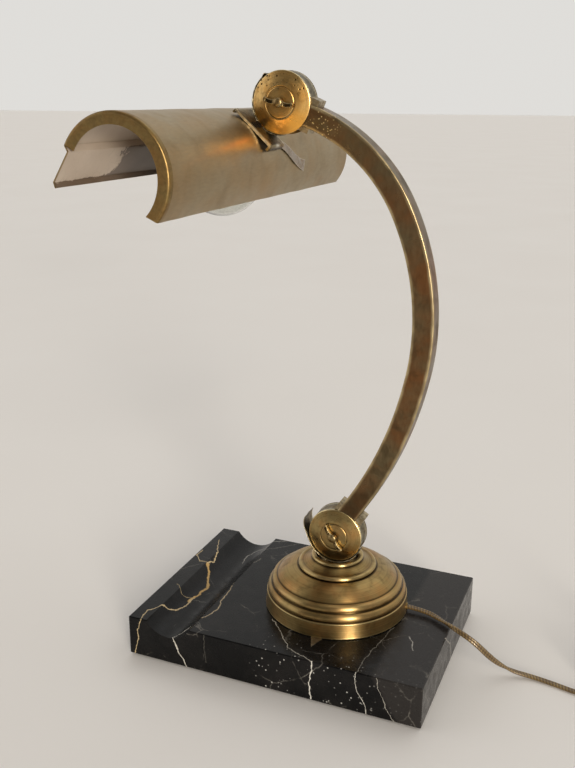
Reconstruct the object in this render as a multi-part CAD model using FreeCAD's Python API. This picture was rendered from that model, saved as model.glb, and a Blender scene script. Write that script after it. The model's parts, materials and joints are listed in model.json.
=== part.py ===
import FreeCAD, Part
import math
import os

V = FreeCAD.Vector

# Desk lamp: brass half-round shade on a curved arm, turned brass foot on a marble slab.
# Millimetres. Origin at the centre of the underside; +X along the slab, +Y to the back, +Z up.
# A driving dimension is named here; everything else is worked out from these.

# --- slab ---
slab_length = 230.0
slab_depth = 162.0
slab_thickness = 32.0
felt_thickness = 1.2
felt_inset = 3.0
slab_chamfer = 0.7
groove_x = -81.0
groove_half_width = 18.5
groove_depth = 10.2
counterbore_radius = 15.0
counterbore_depth = 9.0

# --- foot ---
foot_x = 23.5
foot_y = 2.3
foot_radius = 55.4
packing_thickness = 0.5
stem_radius = 5.0
stem_bore_radius = 3.5
collar_floor = 35.3
collar_opening_radius = 16.4
collar_top = 41.6
foot_wall = 1.6

# --- knuckles ---
lower_pivot = (23.5, 93.5)
upper_pivot = (-21.0, 407.4)
cap_radius = 21.0
cap_thickness = 1.0
cap_rim_y = 6.5
cap_dome = 3.0
cap_boss_radius = 10.5
band_inner = 20.0
band_outer = 21.0
band_half_width = 6.3
cradle_inner = 21.4
cradle_outer = 22.4
lower_cradle_half_width = 9.2
upper_cradle_half_width = 7.4
eye_radius = 11.0
eye_half_width = 3.0
neck_half_width = 5.0
fork_gap = 0.15
fork_outer_y = 5.6
bolt_radius = 2.0
running_clearance = 0.05
lower_root_angle = 60.0
upper_root_angle = -23.0
lower_band_span = (-22.0, 150.0)
upper_band_span = (-60.0, 120.0)
lower_cradle_span = (195.0, 322.0)
lower_cradle_flare = [(23.4, 172.0), (26.2, 154.0)]
upper_cradle_span = (124.0, 262.0)
saddle_half_length = 11.5
saddle_bottom = 10.0
saddle_top = 24.8
wing_length = 11.6
wing_boss_radius = 3.3
wing_boss_height = 4.2
bolt_head_radius = 4.4

# --- arm: three tangent arcs, rising from the lower knuckle and turning left ---
arm_start = (30.25, 108.7)
arm_start_heading = 54.0
arm_radii = (290.0, 182.7, 118.7)
arm_turns = (25.3, 36.2, 47.4)
arm_width = 15.2
arm_depth = 15.2
arm_wall = 1.5
arm_trim_radius = 21.35

# --- shade ---
shade_x = -64.6
shade_z = 366.6
shade_radius = 37.0
shade_sheet = 0.8
shade_length = 298.0
shade_low_angle = -41.0
shade_high_angle = 151.0
shade_lip = 7.6
wing_crease = (-94.8, 380.3)
wing_tip = (-106.9, 362.9)
wing_hem = (-105.9, 359.0)

# --- bracket between the upper knuckle and the shade ---
bracket_direction = 223.0
bracket_top = 21.3
bracket_bottom = 22.7
bracket_span = (-13.5, 17.5)
bracket_front_y = (-23.0, -16.5)
bracket_back_y = 8.0
bracket_rib = 1.4
screw_ys = (-8.7, -15.6)
screw_radius = 1.3
screw_head_radius = 2.6
leaf_middle_angle = 7.0
leaf_start = (8.0, 9.5)
leaf_end = (52.0, -9.0)
leaf_width = 7.5
leaf_thickness = 0.8

# --- lampholder and bulb, on an axis along Y ---
bulb_z = 359.5
bulb_radius = 29.5
bulb_tip_y = 21.0
bulb_neck_y = -43.0
bulb_neck_radius = 13.0
holder_back_y = -76.0
holder_radius = 16.5
strap_width = 18.0
filament_reach = 36.0

# --- cord: flat twin flex ---
cord_radius = 2.2
exit_angle = 8.0
exit_height = 3.6
cord_route = [
    (78.6, 10.0, 36.8),
    (94.0, 10.0, 36.5),
    (107.0, 2.2, 36.4),
    (120.4, -6.4, 36.8),
    (134.6, -8.6, 31.2),
    (148.4, -2.4, 15.0),
    (162.0, 5.4, 4.8),
    (176.0, 8.2, 2.4),
    (192.0, 6.0, 2.4),
    (207.0, 2.2, 2.4),
    (219.0, 1.4, 2.4),
    (229.0, 2.4, 2.4),
]
coil_centre = (250.0, 27.5)
plug_turn = 105.0
plug_centre = (268.0, 36.0)
coil_mean_radius = 25.0
coil_half_width = 8.8
coil_height = 13.4
plug_length = 36.0
plug_width = 26.0
plug_thickness = 12.5
pin_radius = 2.0
pin_length = 19.0
pin_spacing = 18.6

slab_top = felt_thickness + slab_thickness
foot_base = slab_top + packing_thickness


def polar(pivot, radius, degrees):
    """Point in the XZ plane at a radius and angle about a pivot."""
    a = math.radians(degrees)
    return (pivot[0] + radius * math.cos(a), pivot[1] + radius * math.sin(a))


def at(point, y):
    return V(point[0], y, point[1])


def line(a, b):
    return Part.makeLine(a, b)


def arc(a, b, c):
    return Part.Arc(a, b, c).toShape()


def extrude_y(edges, y0, y1):
    """Solid between y0 and y1 whose outline is a closed chain of edges at y = 0."""
    face = Part.Face(Part.Wire(Part.__sortEdges__(edges)))
    face.translate(V(0, y0, 0))
    return face.extrude(V(0, y1 - y0, 0))


def polygon_y(points, y0, y1):
    corners = [at(p, 0) for p in points]
    edges = [line(corners[i], corners[(i + 1) % len(corners)]) for i in range(len(corners))]
    return extrude_y(edges, y0, y1)


def cylinder_y(pivot, radius, y0, y1):
    return Part.makeCylinder(radius, y1 - y0, at(pivot, y0), V(0, 1, 0))


def arc_strip(pivot, inner, outer, span, y0, y1):
    """Part of a barrel wall: a ring sector in XZ, extruded along Y."""
    middle = 0.5 * (span[0] + span[1])
    corners = []
    for radius in (inner, outer):
        corners.append([at(polar(pivot, radius, a), 0) for a in (span[0], middle, span[1])])
    (a, b, c), (d, e, f) = corners
    return extrude_y([arc(a, b, c), line(c, f), arc(f, e, d), line(d, a)], y0, y1)


def turned_block(pivot, degrees, tangential, radial, y_range):
    """Box along a direction from a pivot: tangential and radial ranges, and a Y range."""
    lengths = (radial[1] - radial[0], y_range[1] - y_range[0], tangential[1] - tangential[0])
    box = Part.makeBox(*lengths, V(radial[0], y_range[0], tangential[0]))
    box.rotate(V(0, 0, 0), V(0, 1, 0), -degrees)
    box.translate(at(pivot, 0))
    return box


def revolve_z(edges, x, y):
    """Full turn about a vertical axis at (x, y) of an outline drawn at y = 0."""
    face = Part.Face(Part.Wire(Part.__sortEdges__(edges)))
    solid = face.revolve(V(0, 0, 0), V(0, 0, 1), 360)
    solid.translate(V(x, y, 0))
    return solid


def revolve_y(points, pivot):
    """Full turn about the Y axis through a pivot; points are (radius, y) corners."""
    corners = [V(r, y, 0) for r, y in points]
    edges = [line(corners[i], corners[(i + 1) % len(corners)]) for i in range(len(corners))]
    solid = Part.Face(Part.Wire(edges)).revolve(V(0, 0, 0), V(0, 1, 0), 360)
    solid.translate(at(pivot, 0))
    return solid


def hexagon_nut(across_flats, height, bore):
    """Nut on the Z axis from z = 0 up."""
    corner = across_flats / math.sqrt(3)
    points = [V(corner * math.cos(math.radians(60 * k)), corner * math.sin(math.radians(60 * k)), 0)
              for k in range(7)]
    prism = Part.Face(Part.makePolygon(points)).extrude(V(0, 0, height))
    return prism.cut(Part.makeCylinder(bore, height))


# ------------------------------------------------------------------ slab and foot

def marble_slab():
    half_l = slab_length / 2
    half_d = slab_depth / 2
    slab = Part.makeBox(slab_length, slab_depth, slab_thickness, V(-half_l, -half_d, felt_thickness))
    slab = slab.makeChamfer(slab_chamfer, slab.Edges)
    radius = (groove_half_width ** 2 + groove_depth ** 2) / (2 * groove_depth)
    centre = (groove_x, slab_top - groove_depth + radius)
    slab = slab.cut(cylinder_y(centre, radius, -half_d - 1, half_d + 1))
    slab = slab.cut(Part.makeCylinder(stem_radius + 0.4, slab_top + 1, V(foot_x, foot_y, 0)))
    recess = Part.makeCylinder(counterbore_radius, counterbore_depth, V(foot_x, foot_y, felt_thickness))
    return slab.cut(recess)


def base_felt():
    length = slab_length - 2 * felt_inset
    depth = slab_depth - 2 * felt_inset
    return Part.makeBox(length, depth, felt_thickness, V(-length / 2, -depth / 2, 0))


def foot_packing():
    """Thin sheet under the foot with one hand-cut point that sticks out in front."""
    disc = Part.makeCylinder(foot_radius - 4, packing_thickness)
    corners = [V(-6, -40, 0), V(13, -40, 0), V(4.6, -67, 0), V(-6, -40, 0)]
    point = Part.Face(Part.makePolygon(corners)).extrude(V(0, 0, packing_thickness))
    sheet = disc.fuse(point).cut(Part.makeCylinder(stem_radius + 0.4, packing_thickness))
    sheet.translate(V(foot_x, foot_y, slab_top))
    return sheet.removeSplitter()


def dome_outline():
    """Half section of the spun foot: radius and height above its rim, outside then inside."""
    def p(radius, height):
        return V(radius, 0, height + foot_base)
    return [
        line(p(foot_radius, 0), p(54.8, 11.0)),
        arc(p(54.8, 11.0), p(54.5, 11.8), p(53.6, 12.0)),
        line(p(53.6, 12.0), p(53.2, 12.5)),
        arc(p(53.2, 12.5), p(53.7, 15.4), p(51.8, 18.0)),
        line(p(51.8, 18.0), p(50.8, 18.4)),
        line(p(50.8, 18.4), p(50.4, 19.4)),
        arc(p(50.4, 19.4), p(50.2, 21.8), p(48.2, 23.6)),
        line(p(48.2, 23.6), p(46.6, 24.0)),
        arc(p(46.6, 24.0), p(40.6, 29.4), p(29.6, 32.6)),
        arc(p(29.6, 32.6), p(30.0, 34.6), p(28.0, 35.8)),
        line(p(28.0, 35.8), p(26.8, 35.6)),
        arc(p(26.8, 35.6), p(22.6, 36.8), p(19.4, 39.2)),
        arc(p(19.4, 39.2), p(20.0, 40.6), p(18.6, collar_top)),
        line(p(18.6, collar_top), p(collar_opening_radius, collar_top)),
        line(p(collar_opening_radius, collar_top), p(collar_opening_radius, collar_floor)),
        line(p(collar_opening_radius, collar_floor), p(stem_bore_radius, collar_floor)),
        line(p(stem_bore_radius, collar_floor), p(stem_bore_radius, 33.3)),
        line(p(stem_bore_radius, 33.3), p(18.0, 33.3)),
        line(p(18.0, 33.3), p(27.4, 31.2)),
        arc(p(27.4, 31.2), p(38.8, 28.2), p(45.0, 22.6)),
        line(p(45.0, 22.6), p(51.6, 14.0)),
        line(p(51.6, 14.0), p(foot_radius - foot_wall - 0.8, 9.0)),
        line(p(foot_radius - foot_wall - 0.8, 9.0), p(foot_radius - foot_wall, 0)),
        line(p(foot_radius - foot_wall, 0), p(foot_radius, 0)),
    ]


def exit_axis():
    a = math.radians(exit_angle)
    return V(math.cos(a), math.sin(a), 0)


def exit_cylinder(radius, r0, r1):
    """Cylinder along the cord's way out of the foot, between two distances from the stem."""
    start = V(foot_x, foot_y, slab_top + exit_height) + exit_axis() * r0
    return Part.makeCylinder(radius, r1 - r0, start, exit_axis())


def base_dome():
    dome = revolve_z(dome_outline(), foot_x, foot_y)
    return dome.cut(exit_cylinder(cord_radius + 0.7, foot_radius - 4, foot_radius + 1))


def cord_bush():
    outer = exit_cylinder(cord_radius + 0.7, foot_radius - 2.4, foot_radius + 0.3)
    flange = exit_cylinder(cord_radius + 1.2, foot_radius - 2.8, foot_radius - 2.4)
    bore = exit_cylinder(cord_radius - 0.3, foot_radius - 3, foot_radius + 1)
    return outer.fuse(flange).cut(bore).removeSplitter()


def flex_in_foot():
    return exit_cylinder(cord_radius - 0.4, stem_radius - 2, foot_radius + 0.3)


def foot_stem():
    top = foot_base + 33.3
    tube = Part.makeCylinder(stem_radius, top - 2.2, V(foot_x, foot_y, 2.2))
    tube = tube.cut(Part.makeCylinder(stem_bore_radius, top, V(foot_x, foot_y, 0)))
    return tube.cut(exit_cylinder(cord_radius - 0.2, 0, stem_radius + 1))


def foot_washer():
    ring = Part.makeCylinder(12.0, 1.6).cut(Part.makeCylinder(stem_radius, 1.6))
    ring.translate(V(foot_x, foot_y, felt_thickness + counterbore_depth - 1.6))
    return ring


def foot_nut():
    nut = hexagon_nut(17.0, 5.2, stem_radius)
    nut.translate(V(foot_x, foot_y, felt_thickness + counterbore_depth - 6.8))
    return nut


# ------------------------------------------------------------------ knuckles

def knuckle_cap(pivot, side):
    """Domed disc with a raised boss ring; side -1 is the front, +1 the back."""
    t = cap_thickness
    outer = [(bolt_radius, cap_dome + t), (cap_boss_radius - 0.5, cap_dome + t),
             (cap_boss_radius, cap_dome + 0.5), (cap_boss_radius + 0.6, cap_dome + 0.7),
             (15.0, 2.6), (18.4, 1.5), (cap_radius - 0.4, t), (cap_radius, 0.5), (cap_radius, 0)]
    inner = [(17.6, 0), (14.4, 1.4), (cap_boss_radius, cap_dome - 0.4), (bolt_radius, cap_dome)]
    points = [(r, side * (cap_rim_y + y)) for r, y in outer + inner]
    cap = revolve_y(points, pivot)
    cap.translate(V(0, foot_y, 0))
    return cap


def yoke(pivot, direction):
    """Centre eye of a knuckle with the neck that leaves it."""
    eye = cylinder_y(pivot, eye_radius, -eye_half_width, eye_half_width)
    neck = turned_block(pivot, direction, (-neck_half_width, neck_half_width),
                        (0, bracket_top), (-eye_half_width, eye_half_width))
    solid = eye.fuse(neck).cut(cylinder_y(pivot, bolt_radius + running_clearance, -20, 20))
    solid.translate(V(0, foot_y, 0))
    return solid.removeSplitter()


def lower_yoke():
    """Eye, neck, round foot on the collar's floor, and a spigot into the stem."""
    floor = foot_base + collar_floor
    solid = yoke(lower_pivot, -90.0)
    round_foot = Part.makeCylinder(8.0, 1.8, V(foot_x, foot_y, floor))
    spigot = Part.makeCylinder(stem_bore_radius, 12.0, V(foot_x, foot_y, floor - 12.0))
    low = lower_pivot[1] - bracket_top
    box = Part.makeBox(2 * neck_half_width, 2 * eye_half_width, low - floor,
                       V(foot_x - neck_half_width, foot_y - eye_half_width, floor))
    return solid.fuse([round_foot, spigot, box]).removeSplitter()


def lower_cradle():
    """Strip round the underside of the lower knuckle; its left end flares away."""
    y0 = foot_y - lower_cradle_half_width
    y1 = foot_y + lower_cradle_half_width
    strip = arc_strip(lower_pivot, cradle_inner, cradle_outer, lower_cradle_span, y0, y1)
    stations = [(cradle_inner, lower_cradle_span[0])] + lower_cradle_flare
    thickness = cradle_outer - cradle_inner
    inner = [at(polar(lower_pivot, r, d), 0) for r, d in stations]
    outer = [at(polar(lower_pivot, r + thickness, d), 0) for r, d in stations]
    edges = [arc(*inner), line(inner[2], outer[2]), arc(*outer[::-1]), line(outer[0], inner[0])]
    return strip.fuse(extrude_y(edges, y0, y1)).cut(lower_yoke()).removeSplitter()


def arm_band(pivot, span):
    strip = arc_strip(pivot, band_inner, band_outer, span, -band_half_width, band_half_width)
    strip.translate(V(0, foot_y, 0))
    return strip


def fork(pivot, direction):
    """Two eye plates beside the centre eye, joined by a web under the arm."""
    bore = cylinder_y(pivot, bolt_radius + running_clearance, -20, 20)
    inner_y = eye_half_width + fork_gap
    web = turned_block(pivot, direction, (-neck_half_width, neck_half_width),
                       (6.0, band_inner), (-fork_outer_y, fork_outer_y))
    web = web.common(cylinder_y(pivot, band_inner, -20, 20))
    slot = cylinder_y(pivot, eye_radius + 0.4, -inner_y, inner_y)
    plates = [cylinder_y(pivot, eye_radius, y0, y0 + fork_outer_y - inner_y)
              for y0 in (-fork_outer_y, inner_y)]
    solid = web.cut(slot).fuse(plates).cut(bore)
    solid.translate(V(0, foot_y, 0))
    return solid.removeSplitter()


def saddle(pivot, direction):
    """Clamp block on the band, with the arm let into it so that an ear stands on each side."""
    block = turned_block(pivot, direction, (-saddle_half_length, saddle_half_length),
                         (saddle_bottom, saddle_top), (-band_half_width, band_half_width))
    block.translate(V(0, foot_y, 0))
    barrel = cylinder_y(pivot, band_outer, -30, 30)
    return block.cut(barrel).cut(arm_solid(arm_width / 2, arm_depth / 2))


def knuckle_bolt(pivot):
    """Cheese-headed bolt from the back, ending inside the wing screw's boss."""
    end = cap_rim_y + cap_dome + cap_thickness
    shank = cylinder_y(pivot, bolt_radius, -end - 3.4, end + 1.5)
    head = cylinder_y(pivot, bolt_head_radius, end, end + 2.6)
    slot = turned_block(pivot, 35.0, (-0.5, 0.5), (-5, 5), (end + 1.6, end + 3))
    solid = shank.fuse(head).cut(slot)
    solid.translate(V(0, foot_y, 0))
    return solid.removeSplitter()


def wing_screw(pivot, turn):
    """Boss with two tapering wings, screwed onto the bolt in front of the cap."""
    face = -(cap_rim_y + cap_dome + cap_thickness) - 0.2
    boss = cylinder_y(pivot, wing_boss_radius, face - wing_boss_height, face)
    boss = boss.makeChamfer(0.6, [e for e in boss.Edges if e.BoundBox.YMax < face - 4])
    wings = []
    for side in (0.0, 180.0):
        tip = wing_length
        outline = [(2.0, -1.7), (tip - 0.8, -0.9), (tip, 0.0), (tip - 0.8, 0.9), (2.0, 1.7)]
        wing = polygon_y(outline, face - 3.4, face - 0.2)
        wing = wing.cut(turned_block((0, 0), 0, (-0.7, 0.7), (4.2, tip - 1.8), (face - 4, face - 1.4)))
        wing.rotate(V(0, 0, 0), V(0, 1, 0), -(turn + side))
        wing.translate(at(pivot, 0))
        wings.append(wing)
    bore = cylinder_y(pivot, bolt_radius + running_clearance, face - 3.4, face + 1)
    solid = boss.fuse(wings).cut(bore)
    solid.translate(V(0, foot_y, 0))
    return solid.removeSplitter()


# ------------------------------------------------------------------ arm

def arm_nodes(offset):
    """Start, middle and end of each arc of the arm, at a distance to the left of its centre line."""
    x, z = arm_start
    heading = math.radians(arm_start_heading)
    nodes = []
    for radius, turn in zip(arm_radii, arm_turns):
        cx = x - radius * math.sin(heading)
        cz = z + radius * math.cos(heading)
        turn = math.radians(turn)
        trio = []
        for part in (0.0, 0.5, 1.0):
            h = heading + part * turn
            reach = radius - offset
            trio.append(V(cx + reach * math.sin(h), foot_y, cz - reach * math.cos(h)))
        nodes.append(trio)
        heading += turn
        x = cx + radius * math.sin(heading)
        z = cz - radius * math.cos(heading)
    return nodes


def arm_solid(half_width, half_depth):
    left = arm_nodes(half_width)
    right = arm_nodes(-half_width)
    edges = [arc(*trio) for trio in left + right]
    edges.append(line(left[0][0], right[0][0]))
    edges.append(line(left[-1][2], right[-1][2]))
    face = Part.Face(Part.Wire(Part.__sortEdges__(edges)))
    face.translate(V(0, -half_depth, 0))
    return face.extrude(V(0, 2 * half_depth, 0))


def arm_tube():
    outer = arm_solid(arm_width / 2, arm_depth / 2)
    tube = outer.cut(arm_solid(arm_width / 2 - arm_wall, arm_depth / 2 - arm_wall))
    for pivot in (lower_pivot, upper_pivot):
        tube = tube.cut(cylinder_y(pivot, arm_trim_radius, -30, 30))
    return tube


def flex_in_arm():
    path = Part.Wire([arc(*trio) for trio in arm_nodes(0.0)])
    solid = tube_along(path, cord_radius)
    for pivot in (lower_pivot, upper_pivot):
        solid = solid.cut(cylinder_y(pivot, arm_trim_radius + 2, -30, 30))
    return solid


# ------------------------------------------------------------------ shade

def shade_profile():
    """Closed section of the sheet: arc over the top, crease, straight wing, turned hem."""
    pivot = (shade_x, shade_z)
    middle = 0.5 * (shade_low_angle + shade_high_angle)
    inner_r = shade_radius - shade_sheet
    outer = [at(polar(pivot, shade_radius, a), 0) for a in (shade_low_angle, middle, shade_high_angle)]
    inner = [at(polar(pivot, inner_r, a), 0) for a in (shade_low_angle, middle, shade_high_angle)]
    t = shade_sheet
    outside = [outer[2], at(wing_crease, 0), at(wing_tip, 0), at(wing_hem, 0)]
    inside = [inner[2], at((wing_crease[0] + t, wing_crease[1] + 0.2), 0),
              at((wing_tip[0] + 1.1 * t, wing_tip[1] - 0.3 * t), 0), at((wing_hem[0] + t, wing_hem[1]), 0)]
    edges = [arc(*outer), arc(*inner), line(outer[0], inner[0])]
    edges += [line(outside[i], outside[i + 1]) for i in range(3)]
    edges += [line(inside[i], inside[i + 1]) for i in range(3)]
    edges.append(line(outside[3], inside[3]))
    return edges


def shade_lip_ring(y):
    pivot = (shade_x, shade_z)
    lip = arc_strip(pivot, shade_radius - shade_lip, shade_radius - shade_sheet / 2,
                    (shade_low_angle - 6, shade_high_angle), y, y + shade_sheet)
    low = polar(pivot, shade_radius, shade_low_angle)
    below = Part.makeBox(200, 400, 100, V(low[0] - 100, -200, low[1] - 100))
    return lip.cut(below)


def shade_shell():
    y0 = foot_y - shade_length / 2
    y1 = foot_y + shade_length / 2
    sheet = extrude_y(shade_profile(), y0, y1)
    sheet = sheet.fuse([shade_lip_ring(y0), shade_lip_ring(y1 - shade_sheet)])
    for hole in screw_places():
        sheet = sheet.cut(radial_pin(hole, screw_radius, shade_radius - 4, shade_radius + 4))
    return sheet.removeSplitter()


def radial_pin(place, radius, r0, r1):
    """Cylinder that crosses the shade wall at an angle about its axis and a Y place."""
    degrees, y = place
    a = math.radians(degrees)
    direction = V(math.cos(a), 0, math.sin(a))
    return Part.makeCylinder(radius, r1 - r0, V(shade_x, y, shade_z) + direction * r0, direction)


def screw_places():
    angle = bracket_direction - 180.0
    return [(angle, y) for y in screw_ys]


def upper_yoke():
    return yoke(upper_pivot, bracket_direction)


def bracket_block(corners, r0, r1):
    """Prism on the bracket's plane: (tangential, y) corners, between two distances from the pivot."""
    a = math.radians(bracket_direction)
    outward = V(math.cos(a), 0, math.sin(a))
    tangential = V(-math.sin(a), 0, math.cos(a))
    base = at(upper_pivot, 0) + outward * r0
    points = [base + tangential * t + V(0, y, 0) for t, y in corners]
    face = Part.Face(Part.makePolygon(points + points[:1]))
    return face.extrude(outward * (r1 - r0))


def bracket_front(t):
    """Y of the plate's slanting front edge at a tangential place."""
    share = (t - bracket_span[0]) / (bracket_span[1] - bracket_span[0])
    return bracket_front_y[0] + share * (bracket_front_y[1] - bracket_front_y[0])


def shade_bracket():
    """Folded strap: flat plate on the shade, curled ends, and a cradle under the knuckle."""
    t0, t1 = bracket_span
    y0, y1 = bracket_front(t0), bracket_front(t1)
    back = bracket_back_y
    plate = bracket_block([(t0, y0), (t1, y1), (t1, back), (t0, back)], bracket_top, bracket_bottom)
    rib = bracket_block([(t0, y0), (t1, y1), (t1, y1 + bracket_rib), (t0, y0 + bracket_rib)],
                        bracket_top - 1.6, bracket_bottom)
    curls = []
    for t, out in ((t0, -bracket_rib), (t1, bracket_rib)):
        front = bracket_front(t)
        drop = math.hypot(shade_radius, t) - shade_radius
        curls.append(bracket_block([(t, front), (t + out, front), (t + out, back), (t, back)],
                                   bracket_top, bracket_bottom + drop - 0.6))
    cradle = arc_strip(upper_pivot, cradle_inner, cradle_outer, upper_cradle_span,
                       foot_y - upper_cradle_half_width, foot_y + upper_cradle_half_width)
    solid = plate.fuse([rib, cradle] + curls)
    for place in screw_places():
        solid = solid.cut(radial_pin(place, screw_radius, shade_radius - 1, shade_radius + 4))
    shade_skin = cylinder_y((shade_x, shade_z), shade_radius, -60, 60)
    return solid.cut([shade_skin, upper_yoke()]).removeSplitter()


def bracket_screws():
    screws = []
    for place in screw_places():
        shank = radial_pin(place, screw_radius, shade_radius - 3.2, shade_radius + 2.0)
        head_base = shade_radius + bracket_bottom - bracket_top + 0.03
        head = radial_pin(place, screw_head_radius, head_base, head_base + 1.1)
        head = head.cut(radial_pin(place, 0.9, head_base + 0.5, head_base + 2))
        nut = radial_pin(place, 2.5, shade_radius - 2.8, shade_radius - shade_sheet - 0.1)
        screws.append(shank.fuse([head, nut]).removeSplitter())
    return Part.makeCompound(screws)


def shade_leaf():
    """Thin tongue of sheet lying aslant on the shade's flank, from the bracket to the back."""
    pivot = (shade_x, shade_z)
    a = math.radians(leaf_middle_angle)
    outward = V(math.cos(a), 0, math.sin(a))
    upward = V(-math.sin(a), 0, math.cos(a))
    run = V(leaf_end[0] - leaf_start[0], leaf_end[1] - leaf_start[1], 0)
    across = V(-run.y, run.x, 0).normalize() * (leaf_width / 2)
    start = V(leaf_start[0], leaf_start[1], 0)
    corners = [start + across, start + run + across, start + run - across, start - across]
    base = at(pivot, 0) + outward * (shade_radius - 8.0)
    points = [base + V(0, c.x, 0) + upward * c.y for c in corners]
    prism = Part.Face(Part.makePolygon(points + points[:1])).extrude(outward * 16.0)
    skin = arc_strip(pivot, shade_radius, shade_radius + leaf_thickness, (-60.0, 80.0), -10.0, 80.0)
    return skin.common(prism).cut(shade_bracket()).removeSplitter()


# ------------------------------------------------------------------ lampholder and bulb

def along_y(points):
    """Full turn about the bulb's axis; points are (radius, y)."""
    return revolve_y(points, (shade_x, bulb_z))


def holder_shell():
    b = holder_back_y
    n = bulb_neck_y
    return along_y([(5.0, b), (9.0, b), (12.0, b + 5), (holder_radius, b + 12), (holder_radius, n),
                    (holder_radius - 1.2, n), (holder_radius - 1.2, b + 12.4), (11.2, b + 6.2),
                    (8.6, b + 1.2), (5.0, b + 1.2)])


def holder_insulator():
    b = holder_back_y
    return along_y([(0, b + 1.4), (8.4, b + 1.4), (10.8, b + 6.2), (0, b + 6.2)])


def holder_ring():
    n = bulb_neck_y
    return along_y([(holder_radius, n - 8), (18.4, n - 8), (18.9, n - 6.5), (18.9, n - 1.5),
                    (18.4, n), (holder_radius, n)])


def holder_nipple():
    b = holder_back_y
    return along_y([(3.6, b - 6), (5.0, b - 6), (5.0, b + 1.2), (3.6, b + 1.2)])


def holder_bracket():
    """Strap from the inside of the shade's crown down to the lampholder's nipple."""
    y0 = holder_back_y - 3.0
    top = shade_z + shade_radius - shade_sheet
    left = shade_x - strap_width / 2
    plate = Part.makeBox(strap_width, 1.6, top - bulb_z + 7.0, V(left, y0, bulb_z - 8.0))
    foot = Part.makeBox(strap_width, 16.0, 8.0, V(left, y0, top - 6.0))
    skin = cylinder_y((shade_x, shade_z), shade_radius - shade_sheet, y0 - 1, y0 + 20)
    hollow = cylinder_y((shade_x, shade_z), shade_radius - shade_sheet - 1.4, y0 + 1.6, y0 + 30)
    strap = plate.fuse(foot.cut(hollow)).common(skin)
    return strap.cut(cylinder_y((shade_x, bulb_z), 5.0, y0 - 2, y0 + 4)).removeSplitter()


def bulb_cap():
    n = bulb_neck_y
    return along_y([(0, n - 26), (4.6, n - 26), (5.0, n - 24), (10.0, n - 22.4), (12.9, n - 19),
                    (12.9, n), (12.0, n), (12.0, n - 18.4), (0, n - 18.4)])


def bulb_glass():
    """Clear pear-shaped envelope, 0.8 thick: round crown, then a curve down to the neck."""
    r = bulb_radius
    widest = bulb_tip_y - r
    wall = 0.8
    neck = bulb_neck_y

    def section(shrink):
        crown_start = V(0, bulb_tip_y - shrink, 0)
        a = math.radians(45)
        crown_mid = V((r - shrink) * math.sin(a), widest + (r - shrink) * math.cos(a), 0)
        crown_end = V(r - shrink, widest, 0)
        waist = V(21.6 - shrink, widest - 22.0, 0)
        shoulder_mid = V(27.6 - shrink, widest - 11.0, 0)
        neck_end = V(bulb_neck_radius - 1 - shrink, neck, 0)
        neck_mid = V(15.2 - shrink, neck + 6.0, 0)
        return [arc(crown_start, crown_mid, crown_end), arc(crown_end, shoulder_mid, waist),
                arc(waist, neck_mid, neck_end)], crown_start, neck_end

    outer, top, low = section(0.0)
    inner, top_in, low_in = section(wall)
    edges = outer + inner + [line(top, top_in), line(low, low_in)]
    face = Part.Face(Part.Wire(Part.__sortEdges__(edges)))
    solid = face.revolve(V(0, 0, 0), V(0, 1, 0), 360)
    solid.translate(at((shade_x, bulb_z), 0))
    return solid


def bulb_mount():
    """Glass stem with two lead wires and the filament between them."""
    n = bulb_neck_y
    stem = along_y([(0, n - 18), (9.0, n - 18), (6.0, n - 4), (2.4, n + 8), (2.0, n + 22), (0, n + 22)])
    parts = [stem]
    for side in (-1, 1):
        start = V(shade_x + side * 1.2, n + 16, bulb_z)
        end = V(shade_x + side * 11.0, n + filament_reach, bulb_z)
        parts.append(Part.makeCylinder(0.5, start.distanceToPoint(end), start, end - start))
    left = V(shade_x - 11.4, n + filament_reach, bulb_z)
    parts.append(Part.makeCylinder(0.6, 22.8, left, V(1, 0, 0)))
    return parts[0].fuse(parts[1:]).removeSplitter()


def flex_in_shade():
    """Short lead inside the crown, from the bracket to the lampholder's nipple."""
    crown = shade_z + shade_radius - shade_sheet - 3.4
    x = shade_x + 4.0
    y0 = holder_back_y - 4.4
    points = [V(x + 6, -2.0, crown - 3), V(x + 6, -30.0, crown - 2.6), V(x + 6, -52.0, crown - 2.6),
              V(x + 2, -71.0, crown - 2.0)]
    return tube_along(rounded_path(points)[0], 1.6).fuse(
        Part.makeCylinder(1.6, 7.0, V(shade_x, y0 - 5.0, bulb_z), V(0, 1, 0)))


# ------------------------------------------------------------------ cord

def rounded_path(points):
    """Straight runs joined by tangent arcs, each as large as its two runs allow."""
    edges = []
    radii = []
    last = points[0]
    for k in range(1, len(points) - 1):
        before = points[k - 1] - points[k]
        after = points[k + 1] - points[k]
        run = min(before.Length, after.Length)
        before.normalize()
        after.normalize()
        turn = math.pi - before.getAngle(after)
        cut = 0.45 * run
        radius = cut / math.tan(turn / 2)
        start = points[k] + before * cut
        end = points[k] + after * cut
        bisector = before + after
        bisector.normalize()
        middle = points[k] + bisector * (radius / math.cos(turn / 2) - radius)
        edges.append(line(last, start))
        edges.append(arc(start, middle, end))
        radii.append(radius)
        last = end
    edges.append(line(last, points[-1]))
    return Part.Wire(edges), radii


def tube_along(path, radius):
    first = path.OrderedEdges[0]
    begin = first.valueAt(first.FirstParameter)
    direction = first.tangentAt(first.FirstParameter)
    circle = Part.Wire(Part.makeCircle(radius, begin, direction))
    return path.makePipeShell([circle], True, False)


def cord_tube():
    path, radii = rounded_path([V(*p) for p in cord_route])
    solid = tube_along(path, cord_radius)
    expected = math.pi * cord_radius ** 2 * path.Length
    print("cord length %.1f, radii %s" % (path.Length, " ".join("%.0f" % r for r in radii)))
    print("cord volume %.0f, section times length %.0f" % (solid.Volume, expected))
    return solid


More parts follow.
